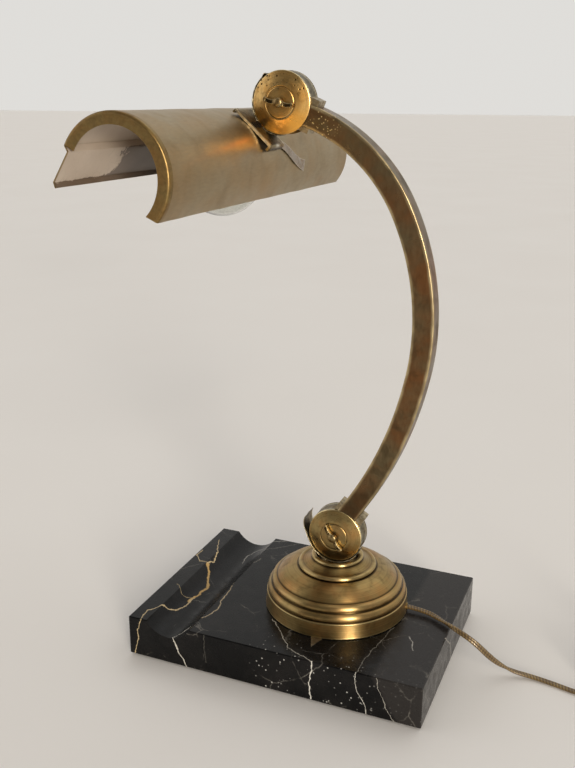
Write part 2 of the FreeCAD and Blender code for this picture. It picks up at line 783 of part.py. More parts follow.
def cord_coil():
    ring = Part.makeCylinder(coil_mean_radius + coil_half_width, coil_height)
    ring = ring.cut(Part.makeCylinder(coil_mean_radius - coil_half_width, coil_height))
    ring = ring.makeFillet(2.2, [e for e in ring.Edges if e.Closed])
    ring.translate(V(coil_centre[0], coil_centre[1], 0))
    return ring


def plug_place(shape):
    shape.rotate(V(0, 0, 0), V(0, 0, 1), plug_turn)
    shape.translate(V(plug_centre[0], plug_centre[1], coil_height))
    return shape


def plug_body():
    """Flat two-pin plug, tapering towards its cord, lying on the coil."""
    half = plug_width / 2
    back = -plug_length / 2
    outline = [V(back, -4.0, 0), V(back + 14, -half, 0), V(-back, -half, 0), V(-back, half, 0),
               V(back + 14, half, 0), V(back, 4.0, 0), V(back, -4.0, 0)]
    body = Part.Face(Part.makePolygon(outline)).extrude(V(0, 0, plug_thickness))
    body = body.makeFillet(2.0, body.Edges)
    return plug_place(body)


def plug_pins():
    pins = []
    for side in (-1, 1):
        start = V(plug_length / 2, side * pin_spacing / 2, plug_thickness / 2)
        pins.append(Part.makeCylinder(pin_radius, pin_length, start, V(1, 0, 0)))
    return plug_place(Part.makeCompound(pins))


def all_parts():
    parts = {
        "base_felt": base_felt(), "marble_slab": marble_slab(), "foot_packing": foot_packing(),
        "base_dome": base_dome(), "foot_stem": foot_stem(), "foot_washer": foot_washer(),
        "foot_nut": foot_nut(), "cord_bush": cord_bush(), "flex_in_foot": flex_in_foot(),
        "lower_yoke": lower_yoke(), "lower_cradle": lower_cradle(),
        "lower_band": arm_band(lower_pivot, lower_band_span),
        "upper_band": arm_band(upper_pivot, upper_band_span),
        "lower_fork": fork(lower_pivot, lower_root_angle),
        "upper_fork": fork(upper_pivot, upper_root_angle),
        "lower_saddle": saddle(lower_pivot, lower_root_angle),
        "upper_saddle": saddle(upper_pivot, upper_root_angle),
        "lower_wing_screw": wing_screw(lower_pivot, -55.0),
        "upper_wing_screw": wing_screw(upper_pivot, -12.0),
        "arm_tube": arm_tube(), "flex_in_arm": flex_in_arm(),
        "upper_yoke": upper_yoke(), "shade_bracket": shade_bracket(), "shade_leaf": shade_leaf(),
        "bracket_screws": bracket_screws(), "shade_shell": shade_shell(),
        "holder_shell": holder_shell(), "holder_insulator": holder_insulator(),
        "holder_ring": holder_ring(), "holder_nipple": holder_nipple(),
        "holder_bracket": holder_bracket(), "bulb_cap": bulb_cap(), "bulb_glass": bulb_glass(),
        "bulb_mount": bulb_mount(), "flex_in_shade": flex_in_shade(),
        "cord_tube": cord_tube(), "cord_coil": cord_coil(),
        "plug_body": plug_body(), "plug_pins": plug_pins(),
    }
    for name, pivot in (("lower", lower_pivot), ("upper", upper_pivot)):
        parts[name + "_cap_front"] = knuckle_cap(pivot, -1)
        parts[name + "_cap_back"] = knuckle_cap(pivot, 1)
        parts[name + "_bolt"] = knuckle_bolt(pivot)
    return parts


os.makedirs("parts", exist_ok=True)
for node, shape in all_parts().items():
    if not shape.isValid():
        print("not valid:", node)
    shape.exportStep("parts/%s.step" % node)
print("done")
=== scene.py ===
import json
import math

import bmesh
import bpy
import numpy as np
from mathutils import Matrix, Vector


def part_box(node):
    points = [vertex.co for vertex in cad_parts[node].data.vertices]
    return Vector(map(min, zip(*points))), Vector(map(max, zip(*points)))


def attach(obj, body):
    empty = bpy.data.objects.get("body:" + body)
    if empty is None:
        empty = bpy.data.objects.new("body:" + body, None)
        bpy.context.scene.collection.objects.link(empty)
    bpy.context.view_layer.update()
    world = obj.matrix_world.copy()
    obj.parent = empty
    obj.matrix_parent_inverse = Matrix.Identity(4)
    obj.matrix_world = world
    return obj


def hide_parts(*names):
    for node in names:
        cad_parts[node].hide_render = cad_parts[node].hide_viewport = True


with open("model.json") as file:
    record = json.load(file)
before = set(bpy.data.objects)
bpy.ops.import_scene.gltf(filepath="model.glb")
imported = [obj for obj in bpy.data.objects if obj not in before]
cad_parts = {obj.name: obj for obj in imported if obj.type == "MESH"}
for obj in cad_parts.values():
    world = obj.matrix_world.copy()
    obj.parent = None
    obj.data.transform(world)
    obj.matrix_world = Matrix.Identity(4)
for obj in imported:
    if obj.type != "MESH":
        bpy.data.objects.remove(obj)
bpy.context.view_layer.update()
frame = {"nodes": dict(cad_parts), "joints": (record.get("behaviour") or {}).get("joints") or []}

# Brass desk lamp on a marble slab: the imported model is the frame, this script gives it its looks.
# Metres throughout; sizes written as a number times mm are millimetres.
mm = 0.001
scene = bpy.context.scene
joints = {joint["name"]: np.array(joint["pos_m"]) for joint in frame["joints"]}
lowerPivot = joints["lower_tilt"]
upperPivot = joints["upper_tilt"]


def boxOf(node):
    low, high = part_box(node)
    return np.array(low), np.array(high)


# ---- camera
cameraSettings = {
    "place": (0.2314, -0.5943, 0.4101),
    "target": (-0.0189, 0.0023, 0.2066),
    "roll": 0.18,  # degrees
    "lens": 42.57,
}


def makeCamera(s):
    camera = bpy.data.objects.new("camera", bpy.data.cameras.new("camera"))
    camera.data.lens = s["lens"]
    camera.data.sensor_width = 36.0
    camera.data.clip_start = 0.02
    camera.data.clip_end = 60.0
    camera.location = s["place"]
    ahead = Vector(s["target"]) - Vector(s["place"])
    turn = ahead.to_track_quat("-Z", "Y").to_matrix() @ Matrix.Rotation(math.radians(s["roll"]), 3, "Z")
    camera.rotation_euler = turn.to_euler()
    scene.collection.objects.link(camera)
    scene.camera = camera


makeCamera(cameraSettings)
print("camera placed")


# ---- helpers for meshes

def makePiece(name, body, grids, materials, sharp=35.0, replaces=()):
    # joins grids of points, rows by columns, into one mesh; a grid closes its seams where it says so
    vertices, faces, slots = [], [], []
    marks = {key: [] for grid in grids for key in grid.get("marks", {})}
    offset = 0
    for grid in grids:
        points = grid["points"]
        rows, cols = points.shape[:2]
        r = np.arange(rows if grid.get("loopRows") else rows - 1)
        c = np.arange(cols if grid.get("loopCols") else cols - 1)
        rr, cc = np.meshgrid(r, c, indexing="ij")
        rNext, cNext = (rr + 1) % rows, (cc + 1) % cols
        quads = [rr * cols + cc, rr * cols + cNext, rNext * cols + cNext, rNext * cols + cc]
        faces += (np.stack(quads, -1).reshape(-1, 4) + offset).tolist()
        slots += np.broadcast_to(grid.get("slots", 0), rr.shape).reshape(-1).tolist()
        if grid.get("capped"):
            faces += [list(range(offset, offset + cols))]
            faces += [list(range(offset + (rows - 1) * cols, offset + rows * cols))]
            slots += [grid.get("capSlot", 0)] * 2
        vertices.append(points.reshape(-1, 3))
        for key in marks:
            mark = grid.get("marks", {}).get(key, 0.0)
            marks[key].append(np.broadcast_to(mark, (rows, cols)).reshape(-1))
        offset += rows * cols
    mesh = bpy.data.meshes.new(name)
    mesh.from_pydata(np.concatenate(vertices).tolist(), [], faces)
    for key, parts in marks.items():
        layer = mesh.attributes.new(key, "FLOAT", "POINT")
        layer.data.foreach_set("value", np.concatenate(parts).astype(np.float32))
    mesh.polygons.foreach_set("material_index", slots)
    shape = bmesh.new()
    shape.from_mesh(mesh)
    bmesh.ops.remove_doubles(shape, verts=shape.verts, dist=1e-6)
    bmesh.ops.recalc_face_normals(shape, faces=shape.faces)
    shape.to_mesh(mesh)
    shape.free()
    mesh.shade_smooth()
    mesh.set_sharp_from_angle(angle=math.radians(sharp))
    for material in materials:
        mesh.materials.append(material)
    piece = bpy.data.objects.new(name, mesh)
    scene.collection.objects.link(piece)
    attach(piece, body)
    if replaces:
        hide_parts(*replaces)
    return piece


def arcThrough(a, b, c, count):
    # circle through three points of a plane, sampled from the first to the last by way of the second
    (ax, ay), (bx, by), (cx, cy) = a, b, c
    d = 2 * (ax * (by - cy) + bx * (cy - ay) + cx * (ay - by))
    ux = ((ax**2 + ay**2) * (by - cy) + (bx**2 + by**2) * (cy - ay) + (cx**2 + cy**2) * (ay - by)) / d
    uy = ((ax**2 + ay**2) * (cx - bx) + (bx**2 + by**2) * (ax - cx) + (cx**2 + cy**2) * (bx - ax)) / d
    angles = np.unwrap([math.atan2(y - uy, x - ux) for x, y in (a, b, c)])
    t = np.interp(np.linspace(0, 2, count), [0, 1, 2], angles)
    radius = math.hypot(ax - ux, ay - uy)
    return np.stack([ux + radius * np.cos(t), uy + radius * np.sin(t)], -1)


def bendMarks(profile, reach):
    # signed turn of a closed or open profile, blurred: above zero on ridges, below zero in grooves
    step = np.diff(profile, axis=0)
    heading = np.unwrap(np.arctan2(step[:, 1], step[:, 0]))
    length = np.concatenate([[0], np.cumsum(np.hypot(step[:, 0], step[:, 1]))])
    turn = np.concatenate([[0], np.diff(heading), [0]])
    near = np.exp(-((length[:, None] - length[None, :]) / reach) ** 2)
    return np.clip(near @ turn, -1.0, 1.0)


def lathe(profile, centre, axis, steps, marks=None, loopRows=False):
    # (radius, height) profile turned about an axis: radius times cosine and sine across, height along
    turn = np.linspace(0, 2 * math.pi, steps, endpoint=False)
    radius, height = profile[:, :1], profile[:, 1:]
    across = [radius * np.cos(turn), radius * np.sin(turn)]
    along = np.broadcast_to(height, across[0].shape)
    order = {"z": [across[0], across[1], along], "y": [across[0], along, across[1]]}[axis]
    grid = {"points": np.stack(order, -1) + np.array(centre), "loopCols": True, "loopRows": loopRows}
    if marks is not None:
        grid["marks"] = {"edge": marks[:, None]}
    return grid


def roundedSection(halfA, halfB, radius, perCorner=5, perFlat=6):
    # rectangle with quarter-circle corners, as a closed loop; also how near each point is to a corner
    corner = np.linspace(0, math.pi / 2, perCorner)
    flat = np.linspace(0, 1, perFlat + 2)[1:-1, None]
    points, near = [], []
    corners = [(1, 1, 0), (-1, 1, 1), (-1, -1, 2), (1, -1, 3)]
    rounds = []
    for sa, sb, quarter in corners:
        angle = corner + quarter * math.pi / 2
        middle = np.array([sa * (halfA - radius), sb * (halfB - radius)])
        rounds.append(middle + radius * np.stack([np.cos(angle), np.sin(angle)], -1))
    for k in range(4):
        here, after = rounds[k], rounds[(k + 1) % 4]
        between = here[-1] + (after[0] - here[-1]) * flat
        gap = np.minimum(flat[:, 0], 1 - flat[:, 0]) * np.hypot(*(after[0] - here[-1]))
        points += [here, between]
        near += [np.ones(perCorner), np.exp(-gap / (1.1 * mm))]
    return np.concatenate(points), np.concatenate(near)


def tube(points, marks):
    # grid whose rows are closed loops, shut at both ends
    return {"points": points, "loopCols": True, "capped": True, "marks": marks}


def smooth(x, low, high):
    # smooth step from 0 at low to 1 at high
    t = np.clip((x - low) / (high - low), 0, 1)
    return t * t * (3 - 2 * t)


def ripple(x, seed, count=5, first=1.0):
    # sum of sines with fixed odd rates and phases, between about -1 and 1
    k = np.arange(1, count + 1)
    rate = first * (0.6 + k * 0.87 + 0.13 * np.sin(seed * 7.1 + k * 3.3))
    phase = np.sin(seed * 12.9 + k * 78.2) * 6.28
    return (np.sin(np.asarray(x)[..., None] * rate + phase) / k**0.7).sum(-1) / 2.2


# ---- helpers for materials

def colour(hexCode):
    # sRGB hex to linear: a straight toe below 0.04045, a 2.4 power above it
    parts = [int(hexCode[i:i + 2], 16) / 255 for i in (1, 3, 5)]
    return [c / 12.92 if c <= 0.04045 else ((c + 0.055) / 1.055) ** 2.4 for c in parts] + [1.0]


def connect(tree, node, sockets):
    # each socket takes a number, a hex colour, a link, or a node, whose first output is linked
    for key, value in sockets.items():
        source = value.outputs[0] if isinstance(value, bpy.types.Node) else value
        source = colour(source) if isinstance(source, str) else source
        if isinstance(source, bpy.types.NodeSocket):
            tree.links.new(source, node.inputs[key])
        else:
            node.inputs[key].default_value = source


def add(tree, kind, sockets=None, **settings):
    # one shader node with its settings and links
    node = tree.nodes.new("ShaderNode" + kind)
    for key, value in settings.items():
        setattr(node, key, value)
    connect(tree, node, sockets or {})
    return node


def startMaterial(name):
    material = bpy.data.materials.new(name)
    material.use_nodes = True
    tree = material.node_tree
    tree.nodes.clear()
    shader = add(tree, "BsdfPrincipled")
    add(tree, "OutputMaterial", {"Surface": shader})
    return material, tree, shader


def perMetre(size):
    return 1.0 / size


def agedBrass(name, s):
    # colour patches, a streaked or ringed grain, grime in grooves, bright worn edges, pits and fine bump
    material, tree, shader = startMaterial(name)
    where = add(tree, "TexCoord").outputs["Object"]
    centred = add(tree, "Mapping", {"Vector": where, "Location": [-v for v in s.get("centre", (0, 0, 0))]})
    place = centred
    if "axis" in s:  # turned about an axis: the grain depends on radius and height only
        flat = {"z": (1, 1, 0), "y": (1, 0, 1)}[s["axis"]]
        rest = {"z": (0, 0, 1), "y": (0, 1, 0)}[s["axis"]]
        across = add(tree, "VectorMath", {0: place, 1: flat}, operation="MULTIPLY")
        radius = add(tree, "VectorMath", {0: across}, operation="LENGTH")
        height = add(tree, "VectorMath", {0: place, 1: rest}, operation="DOT_PRODUCT")
        ringed = add(tree, "CombineXYZ", {0: radius.outputs["Value"], 1: height.outputs["Value"]})
        grainPlace = ringed
    else:
        stretched = add(tree, "VectorMath", {0: place, 1: s.get("stretch", (1, 1, 1))},
                        operation="MULTIPLY")
        grainPlace = stretched
    grain = add(tree, "TexNoise", {"Vector": grainPlace, "Scale": perMetre(s["grain"]), "Detail": 3.0})
    patch = add(tree, "TexNoise", {"Vector": place, "Scale": perMetre(s["patch"]), "Detail": 5.0,
                                   "Roughness": 0.62})
    stain = add(tree, "TexNoise", {"Vector": place, "Scale": perMetre(s["patch"] * 0.37), "Detail": 6.0,
                                   "Distortion": 0.6})
    warmth = add(tree, "MapRange", {"Value": patch, "From Min": 0.42, "From Max": 0.66})
    darkness = add(tree, "MapRange", {"Value": stain, "From Min": 0.5, "From Max": 0.78,
                                      "To Max": s.get("stain", 0.7)})
    lines = add(tree, "MapRange", {"Value": grain, "From Min": 0.3, "From Max": 0.7,
                                   "To Min": 1 - s.get("lines", 0.15), "To Max": 1 + s.get("lines", 0.15)})
    edge = add(tree, "Attribute", attribute_name="edge")
    wear = add(tree, "Math", {0: edge.outputs["Fac"], 1: patch}, operation="MULTIPLY")
    ridge = add(tree, "MapRange", {"Value": wear, "From Min": 0.1, "From Max": 0.5,
                                   "To Max": s.get("wear", 0.8)})
    groove = add(tree, "MapRange", {"Value": edge.outputs["Fac"], "From Min": -0.05, "From Max": -0.6,
                                    "To Max": s.get("grime", 0.85)})
    # glow: a colour laid where a piece marks it; painted reflections on the caps and the shade's streak, a
    # painted highlight on the bracket, a darker lower end on the arm
    glow = add(tree, "Attribute", attribute_name="glow")
    dots = add(tree, "TexVoronoi", {"Vector": place, "Scale": perMetre(s.get("pitGap", 2.4 * mm)),
                                    "Randomness": 1.0})
    hole = add(tree, "MapRange", {"Value": dots.outputs["Distance"], "From Min": 0.28, "From Max": 0.16})
    pitMark = add(tree, "Attribute", attribute_name="pits")
    pitted = add(tree, "Math", {0: hole, 1: pitMark.outputs["Fac"]}, operation="MULTIPLY")
    tone = add(tree, "MixRGB", {"Fac": warmth, "Color1": s["base"], "Color2": s["warm"]})
    tone = add(tree, "MixRGB", {"Fac": darkness, "Color1": tone, "Color2": s["dark"]})
    tone = add(tree, "VectorMath", {0: tone, 1: lines}, operation="MULTIPLY")
    overlays = [(ridge, s["bright"]), (groove, s["dark"]), (glow.outputs["Fac"], s.get("glow", s["warm"])),
                (pitted, s.get("pit", s["dark"]))]
    for mask, over in overlays:
        tone = add(tree, "MixRGB", {"Fac": mask, "Color1": tone, "Color2": over})
    low, high = s["rough"]
    rough = add(tree, "MapRange", {"Value": stain, "From Min": 0.3, "From Max": 0.75, "To Min": low,
                                   "To Max": high})
    grit = add(tree, "TexNoise", {"Vector": place, "Scale": perMetre(0.9 * mm), "Detail": 2.0})
    height = add(tree, "Math", {0: grain, 1: s.get("grainDepth", 0.6), 2: grit}, operation="MULTIPLY_ADD")
    height = add(tree, "Math", {0: pitted, 1: -4.0, 2: height}, operation="MULTIPLY_ADD")
    bump = add(tree, "Bump", {"Height": height, "Strength": s.get("bump", 0.25), "Distance": 0.1 * mm})
    connect(tree, shader, {"Base Color": tone, "Roughness": rough, "Normal": bump, "Metallic": 1.0})
    # brushed: how much the highlight is drawn out, and its turn from the direction round the upright axis
    amount, turn = s.get("brushed", (0, 0))
    connect(tree, shader, {"Anisotropic": amount, "Anisotropic Rotation": turn})
    return material


def dress(node, material):
    # a kept node takes a material on its object's own slots
    piece = frame["nodes"][node]
    if not piece.material_slots:
        piece.data.materials.append(material)
    for slot in piece.material_slots:
        slot.material = material


# ---- cord: flat twin flex, clear PVC over gold-coloured strands, extruded

cordSettings = {
    "route": [
        (0.0786, 0.0100, 0.0368), (0.0940, 0.0100, 0.0362), (0.1070, 0.0022, 0.0362),
        (0.1204, -0.0064, 0.0364), (0.1346, -0.0086, 0.0310), (0.1484, -0.0024, 0.0148),
        (0.1620, 0.0054, 0.0044), (0.1760, 0.0082, 0.0018), (0.1920, 0.0060, 0.0014),
        (0.2070, 0.0022, 0.0014), (0.2190, 0.0008, 0.0018), (0.2300, -0.0002, 0.0023),
    ],
    "tail": [
        (0.2409, 0.0081, 0.0128), (0.2460, 0.0029, 0.0150), (0.2518, -0.0008, 0.0160),
        (0.2587, -0.0017, 0.0166), (0.2653, 0.0003, 0.0174), (0.2704, 0.0050, 0.0184),
        (0.2731, 0.0114, 0.0193), (0.2728, 0.0183, 0.0197),
    ],
    "coilCentre": (0.2500, 0.0275),
    "coilOuter": 32.6 * mm,
    "coilInner": 17.7 * mm,
    "firstAngle": 252.0,
    "lastTurns": 2.75,
    "climbTurns": 0.2,
    "pointsPerTurn": 16,
    "width": 4.4 * mm,
    "thickness": 2.3 * mm,
    "waist": 0.5,
    "floorHeight": 2.4 * mm,
    "step": 2.6 * mm,
    "sectionSteps": 24,
    "onEdge": [(0.02, 0.05), (0.075, 0.105), (0.155, 0.2)],  # it turns on edge, flat again, on edge again
    "strand": 2.4 * mm,  # lay length of the strands; drawn coarse enough to show
}


def coilPoints(s):
    # flat spirals inwards, outwards and inwards again, each a width above the last, joined by short climbs
    pitch = s["width"]
    outer, inner = s["coilOuter"], s["coilInner"]
    full = (outer - inner) / pitch
    climb = s["climbTurns"]
    knots = np.cumsum([0, full, climb, full, climb, s["lastTurns"]])
    radii = [outer, inner, inner, outer, outer, outer - pitch * s["lastTurns"]]
    heights = [0, 0, pitch, pitch, 2 * pitch, 2 * pitch]
    count = int(knots[-1] * s["pointsPerTurn"])
    turns = np.linspace(0, knots[-1], count)
    angle = math.radians(s["firstAngle"]) + turns * 2 * math.pi
    radius = np.interp(turns, knots, radii)
    height = np.interp(turns, knots, heights) + s["floorHeight"]
    x, y = s["coilCentre"]
    return np.stack([x + radius * np.cos(angle), y + radius * np.sin(angle), height], -1)


def splineLine(points):
    # smooth line of a NURBS spline through its control polygon, as Blender works it out
    curve = bpy.data.curves.new("cordRoute", "CURVE")
    curve.dimensions = "3D"
    spline = curve.splines.new("NURBS")
    spline.points.add(len(points) - 1)
    spline.points.foreach_set("co", np.column_stack([points, np.ones(len(points))]).reshape(-1))
    spline.order_u = 3
    spline.use_endpoint_u = True
    spline.resolution_u = 10
    holder = bpy.data.objects.new("cordRoute", curve)
    scene.collection.objects.link(holder)
    bpy.context.view_layer.update()
    mesh = bpy.data.meshes.new_from_object(holder.evaluated_get(bpy.context.evaluated_depsgraph_get()))
    line = np.empty(len(mesh.vertices) * 3)
    mesh.vertices.foreach_get("co", line)
    bpy.data.objects.remove(holder)
    bpy.data.curves.remove(curve)
    bpy.data.meshes.remove(mesh)
    return line.reshape(-1, 3)


def evenly(line, step):
    # the same line with points an even distance apart
    length = np.concatenate([[0], np.cumsum(np.linalg.norm(np.diff(line, axis=0), axis=1))])
    count = int(length[-1] / step)
    at = np.linspace(0, length[-1], count)
    return np.stack([np.interp(at, length, line[:, k]) for k in range(3)], -1), at


def cordMesh(s, material):
    # twin-core section, two circles joined by a web, carried along the line and turned slowly about it
    route = np.concatenate([np.array(s["route"]), coilPoints(s), np.array(s["tail"])])
    line, along = evenly(splineLine(route), s["step"])
    ahead = np.gradient(line, axis=0)
    ahead /= np.linalg.norm(ahead, axis=1, keepdims=True)
    side = np.cross(ahead, [0, 0, 1.0])
    side /= np.linalg.norm(side, axis=1, keepdims=True)
    up = np.cross(side, ahead)
    first, second, third = [smooth(along, *span) for span in s["onEdge"]]
    stands = first * (1 - second) + third
    twist = (stands * (math.pi / 2))[:, None]
    half, core = s["width"] / 2, s["thickness"] / 2
    angle = np.linspace(0, 2 * math.pi, s["sectionSteps"], endpoint=False)
    a = half * np.cos(angle)
    inCore = np.sqrt(np.clip(1 - ((np.abs(a) - (half - core)) / core) ** 2, 0, 1))
    lens = np.where(np.abs(a) < half - core, np.maximum(inCore, s["waist"]), inCore)
    b = core * lens * np.where(np.sin(angle) < 0, -1, 1)
    wide = side * np.cos(twist) + up * np.sin(twist)
    thick = up * np.cos(twist) - side * np.sin(twist)
    points = line[:, None] + wide[:, None] * a[:, None] + thick[:, None] * b[:, None]
    marks = {"along": along[:, None], "around": (angle / (2 * math.pi))[None, :]}
    grid = tube(points, marks)
    cord = makePiece("cord", "base", [grid], [material], sharp=60.0, replaces=("cord_tube", "cord_coil"))
    return cord, line


def flexMaterial(strandLength):
    # flexible PVC, extruded clear over twisted strands: glossy skin, slanting strand lines inside
    material, tree, shader = startMaterial("clear_pvc_flex_extruded")
    along = add(tree, "Attribute", attribute_name="along").outputs["Fac"]
    around = add(tree, "Attribute", attribute_name="around").outputs["Fac"]
    slant = add(tree, "Math", {0: around, 1: 2 * math.pi * 2}, operation="MULTIPLY")
    phase = add(tree, "Math", {0: along, 1: 2 * math.pi / strandLength, 2: slant}, operation="MULTIPLY_ADD")
    wave = add(tree, "Math", {0: phase}, operation="SINE")
    where = add(tree, "TexCoord").outputs["Object"]
    dirt = add(tree, "TexNoise", {"Vector": where, "Scale": perMetre(9 * mm), "Detail": 4.0})
    strand = add(tree, "MapRange", {"Value": wave, "From Min": -1.0, "From Max": 1.0})
    tone = add(tree, "MixRGB", {"Fac": strand, "Color1": "#5b4a2e", "Color2": "#a98f5c"})
    tone = add(tree, "MixRGB", {"Fac": dirt, "Color1": tone, "Color2": "#4d3925"})
    bump = add(tree, "Bump", {"Height": wave, "Strength": 0.2, "Distance": 0.1 * mm})
    rough = add(tree, "MapRange", {"Value": dirt, "To Min": 0.25, "To Max": 0.5})
    connect(tree, shader, {"Base Color": tone, "Roughness": rough, "Normal": bump, "Metallic": 0.35,
                           "Coat Weight": 0.5})
    return material


flex = flexMaterial(cordSettings["strand"])
cord, cordLine = cordMesh(cordSettings, flex)
print("cord laid, metres:", round(float(np.linalg.norm(np.diff(cordLine, axis=0), axis=1).sum()), 3))


# ---- floor, world and lights

studioSettings = {
    "floor": "#e4e0db", "floorCloud": "#e9e6e2",
    "reach": 25.0,
    "skyNear": "#6f6c69",  # behind the camera
    "skyFar": "#f0eeea",  # behind the lamp
    "skyStrength": 0.85,
    "suns": [
        # name, direction it comes from, width in degrees, strength, colour
        ("window", (0.62, -0.78, 0.42), 26.0, 1.25, "#fff4e6"),
        ("lowWindow", (0.65, -0.75, 0.14), 12.0, 1.7, "#fffaf0"),
        ("leftFill", (-0.85, -0.35, 0.3), 50.0, 0.6, "#f4f2f6"),
        ("highSoft", (0.15, 0.35, 0.95), 60.0, 0.35, "#ffffff"),
    ],
}


def makeStudio(s):
    reach = s["reach"]
    corners = np.array([[[-reach, -reach, 0], [reach, -reach, 0]], [[-reach, reach, 0], [reach, reach, 0]]])
    mesh = bpy.data.meshes.new("floor")
    mesh.from_pydata(corners.reshape(-1, 3).tolist(), [], [(0, 1, 3, 2)])
    floor = bpy.data.objects.new("floor", mesh)
    scene.collection.objects.link(floor)
    material, tree, shader = startMaterial("floor_card_matt")
    where = add(tree, "TexCoord").outputs["Object"]
    cloud = add(tree, "TexNoise", {"Vector": where, "Scale": 3.0})
    tone = add(tree, "MixRGB", {"Fac": cloud, "Color1": s["floor"], "Color2": s["floorCloud"]})
    connect(tree, shader, {"Base Color": tone, "Roughness": 0.55})
    mesh.materials.append(material)
    world = bpy.data.worlds.new("studio")
    scene.world = world
    world.use_nodes = True
    tree = world.node_tree
    tree.nodes.clear()
    toward = add(tree, "TexCoord").outputs["Generated"]
    parts = add(tree, "SeparateXYZ", {0: toward})
    depth = add(tree, "MapRange", {"Value": parts.outputs["Y"], "From Min": -0.6, "From Max": 0.6})
    sky = add(tree, "MixRGB", {"Fac": depth, "Color1": s["skyNear"], "Color2": s["skyFar"]})
    glow = add(tree, "Background", {"Color": sky, "Strength": s["skyStrength"]})
    add(tree, "OutputWorld", {"Surface": glow})
    for name, source, width, strength, tint in s["suns"]:
        light = bpy.data.lights.new(name, "SUN")
        light.angle = math.radians(width)
        light.energy = strength
        light.color = colour(tint)[:3]
        holder = bpy.data.objects.new(name, light)
        holder.rotation_euler = (-Vector(source)).to_track_quat("-Z", "Y").to_euler()
        scene.collection.objects.link(holder)
    scene.view_settings.view_transform = "Standard"


makeStudio(studioSettings)
print("studio lit")


# ---- marble slab

marbleSettings = {
    # each vein: the face that cuts it, half width in mm, colour, strength, and its course there in mm
    # (x and y on the top and in the groove, x and z on the front, y and z on the right side)
    "veins": [
        ("top", 1.3, "#b8975f", 0.95,
         [(-98.3, 18.0), (-92.0, 7.8), (-86.8, -6.5), (-88.0, -19.0), (-89.6, -32.0)]),
        ("top", 0.6, "#c0ab84", 0.9,
         [(-108.0, 58.0), (-104.5, 49.0), (-100.0, 38.6), (-97.0, 26.0), (-98.3, 18.0), (-106.1, 18.0),
          (-113.8, 26.0), (-113.0, 36.0)]),
        ("top", 0.65, "#bda983", 0.9,
         [(-88.3, -25.8), (-89.6, -42.5), (-92.0, -49.4), (-99.0, -56.6), (-105.6, -68.0),
          (-104.5, -79.8)]),
        ("front", 0.55, "#bda983", 0.85,
         [(-104.5, 33.0), (-107.0, 24.0), (-106.5, 16.0), (-111.3, 1.0)]),
        ("top", 0.35, "#a8956f", 0.75,
         [(-104.0, -24.0), (-97.1, -30.6), (-93.1, -30.3), (-88.3, -25.8)]),
        ("top", 0.6, "#b5a282", 0.85,
         [(-66.0, 2.0), (-61.5, -14.0), (-59.9, -31.9), (-56.5, -46.6), (-61.2, -60.6), (-69.0, -70.0)]),
        ("top", 0.45, "#9f988b", 0.65,
         [(-60.2, 41.6), (-63.0, 28.0), (-64.5, 12.0), (-63.5, 3.0)]),
        ("top", 0.5, "#aaa69e", 0.8,
         [(-52.0, 79.0), (-62.0, 74.0), (-74.0, 70.0), (-80.5, 58.6), (-78.3, 44.7)]),
        ("top", 0.4, "#8f8b82", 0.7,
         [(-40.0, 79.0), (-52.0, 66.0), (-66.0, 56.0)]),
        ("top", 0.5, "#c9c4b8", 0.9,
         [(-70.0, -66.0), (-73.0, -72.3), (-76.5, -79.9)]),
        ("front", 0.5, "#c9c4b8", 0.95,
         [(-76.5, 24.5), (-73.5, 17.0), (-72.5, 12.7), (-68.0, 8.0), (-65.1, 0.0)]),
        ("front", 0.3, "#6a675f", 0.6,
         [(-50.5, 33.0), (-50.3, 24.0), (-48.9, 10.0)]),
        ("top", 0.4, "#b3aea2", 0.8,
         [(-12.0, -42.0), (-7.1, -47.7), (3.2, -58.5), (13.5, -71.9), (24.5, -76.6), (34.6, -79.9)]),
        ("front", 0.6, "#d4d0c6", 0.95,
         [(34.6, 33.0), (35.4, 26.4), (34.4, 20.0), (33.5, 14.4), (33.8, 3.0)]),
        ("top", 0.35, "#8f8b81", 0.7,
         [(76.0, -16.0), (73.0, -30.0), (70.5, -48.0), (68.5, -62.4), (67.9, -79.9)]),
        ("front", 0.45, "#c2beb4", 0.9,
         [(67.9, 33.0), (66.4, 28.0), (69.7, 17.1), (73.6, 10.5), (76.3, 0.0)]),
        ("front", 0.35, "#aaa59b", 0.8,
         [(82.1, 33.0), (83.5, 26.0), (85.8, 20.0), (90.0, 11.5), (97.0, 0.0)]),
        ("side", 0.4, "#a9a398", 0.8,
         [(-16.0, 33.0), (-6.0, 24.0), (2.7, 18.0), (9.5, 1.0)]),
        ("top", 0.5, "#bcb9b1", 0.7,
         [(90.0, -25.0), (93.6, -31.0), (96.4, -39.5)]),
    ],
    # face: the two directions kept, the direction it looks along, and where the face begins
    "faces": {
        "top": ((1, 1, 0), (0, 0, 1), 20 * mm),
        "front": ((1, 0, 1), (0, -1, 0), 80.3 * mm),
        "side": ((0, 1, 1), (1, 0, 0), 114.3 * mm),
    },
    # size and reach of the veins' jitter
    "wander": [(11 * mm, 2.2 * mm), (3.4 * mm, 1.0 * mm), (1.3 * mm, 0.45 * mm)],
    "ground": "#050505", "cloud": "#1c1a19", "rightPart": "#2e2b29",
    "hairline": "#7b776f", "fleck": "#b9b7b1",
    "rightFrom": (104 * mm, 108 * mm),  # x plus 0.6 z where the greyer right part begins
    "flecksX": [(-16 * mm, -4 * mm), (84 * mm, 70 * mm)],  # the flecks come in and die out across the slab
    "flecksY": (-60 * mm, -78 * mm),  # and gather at its front
}


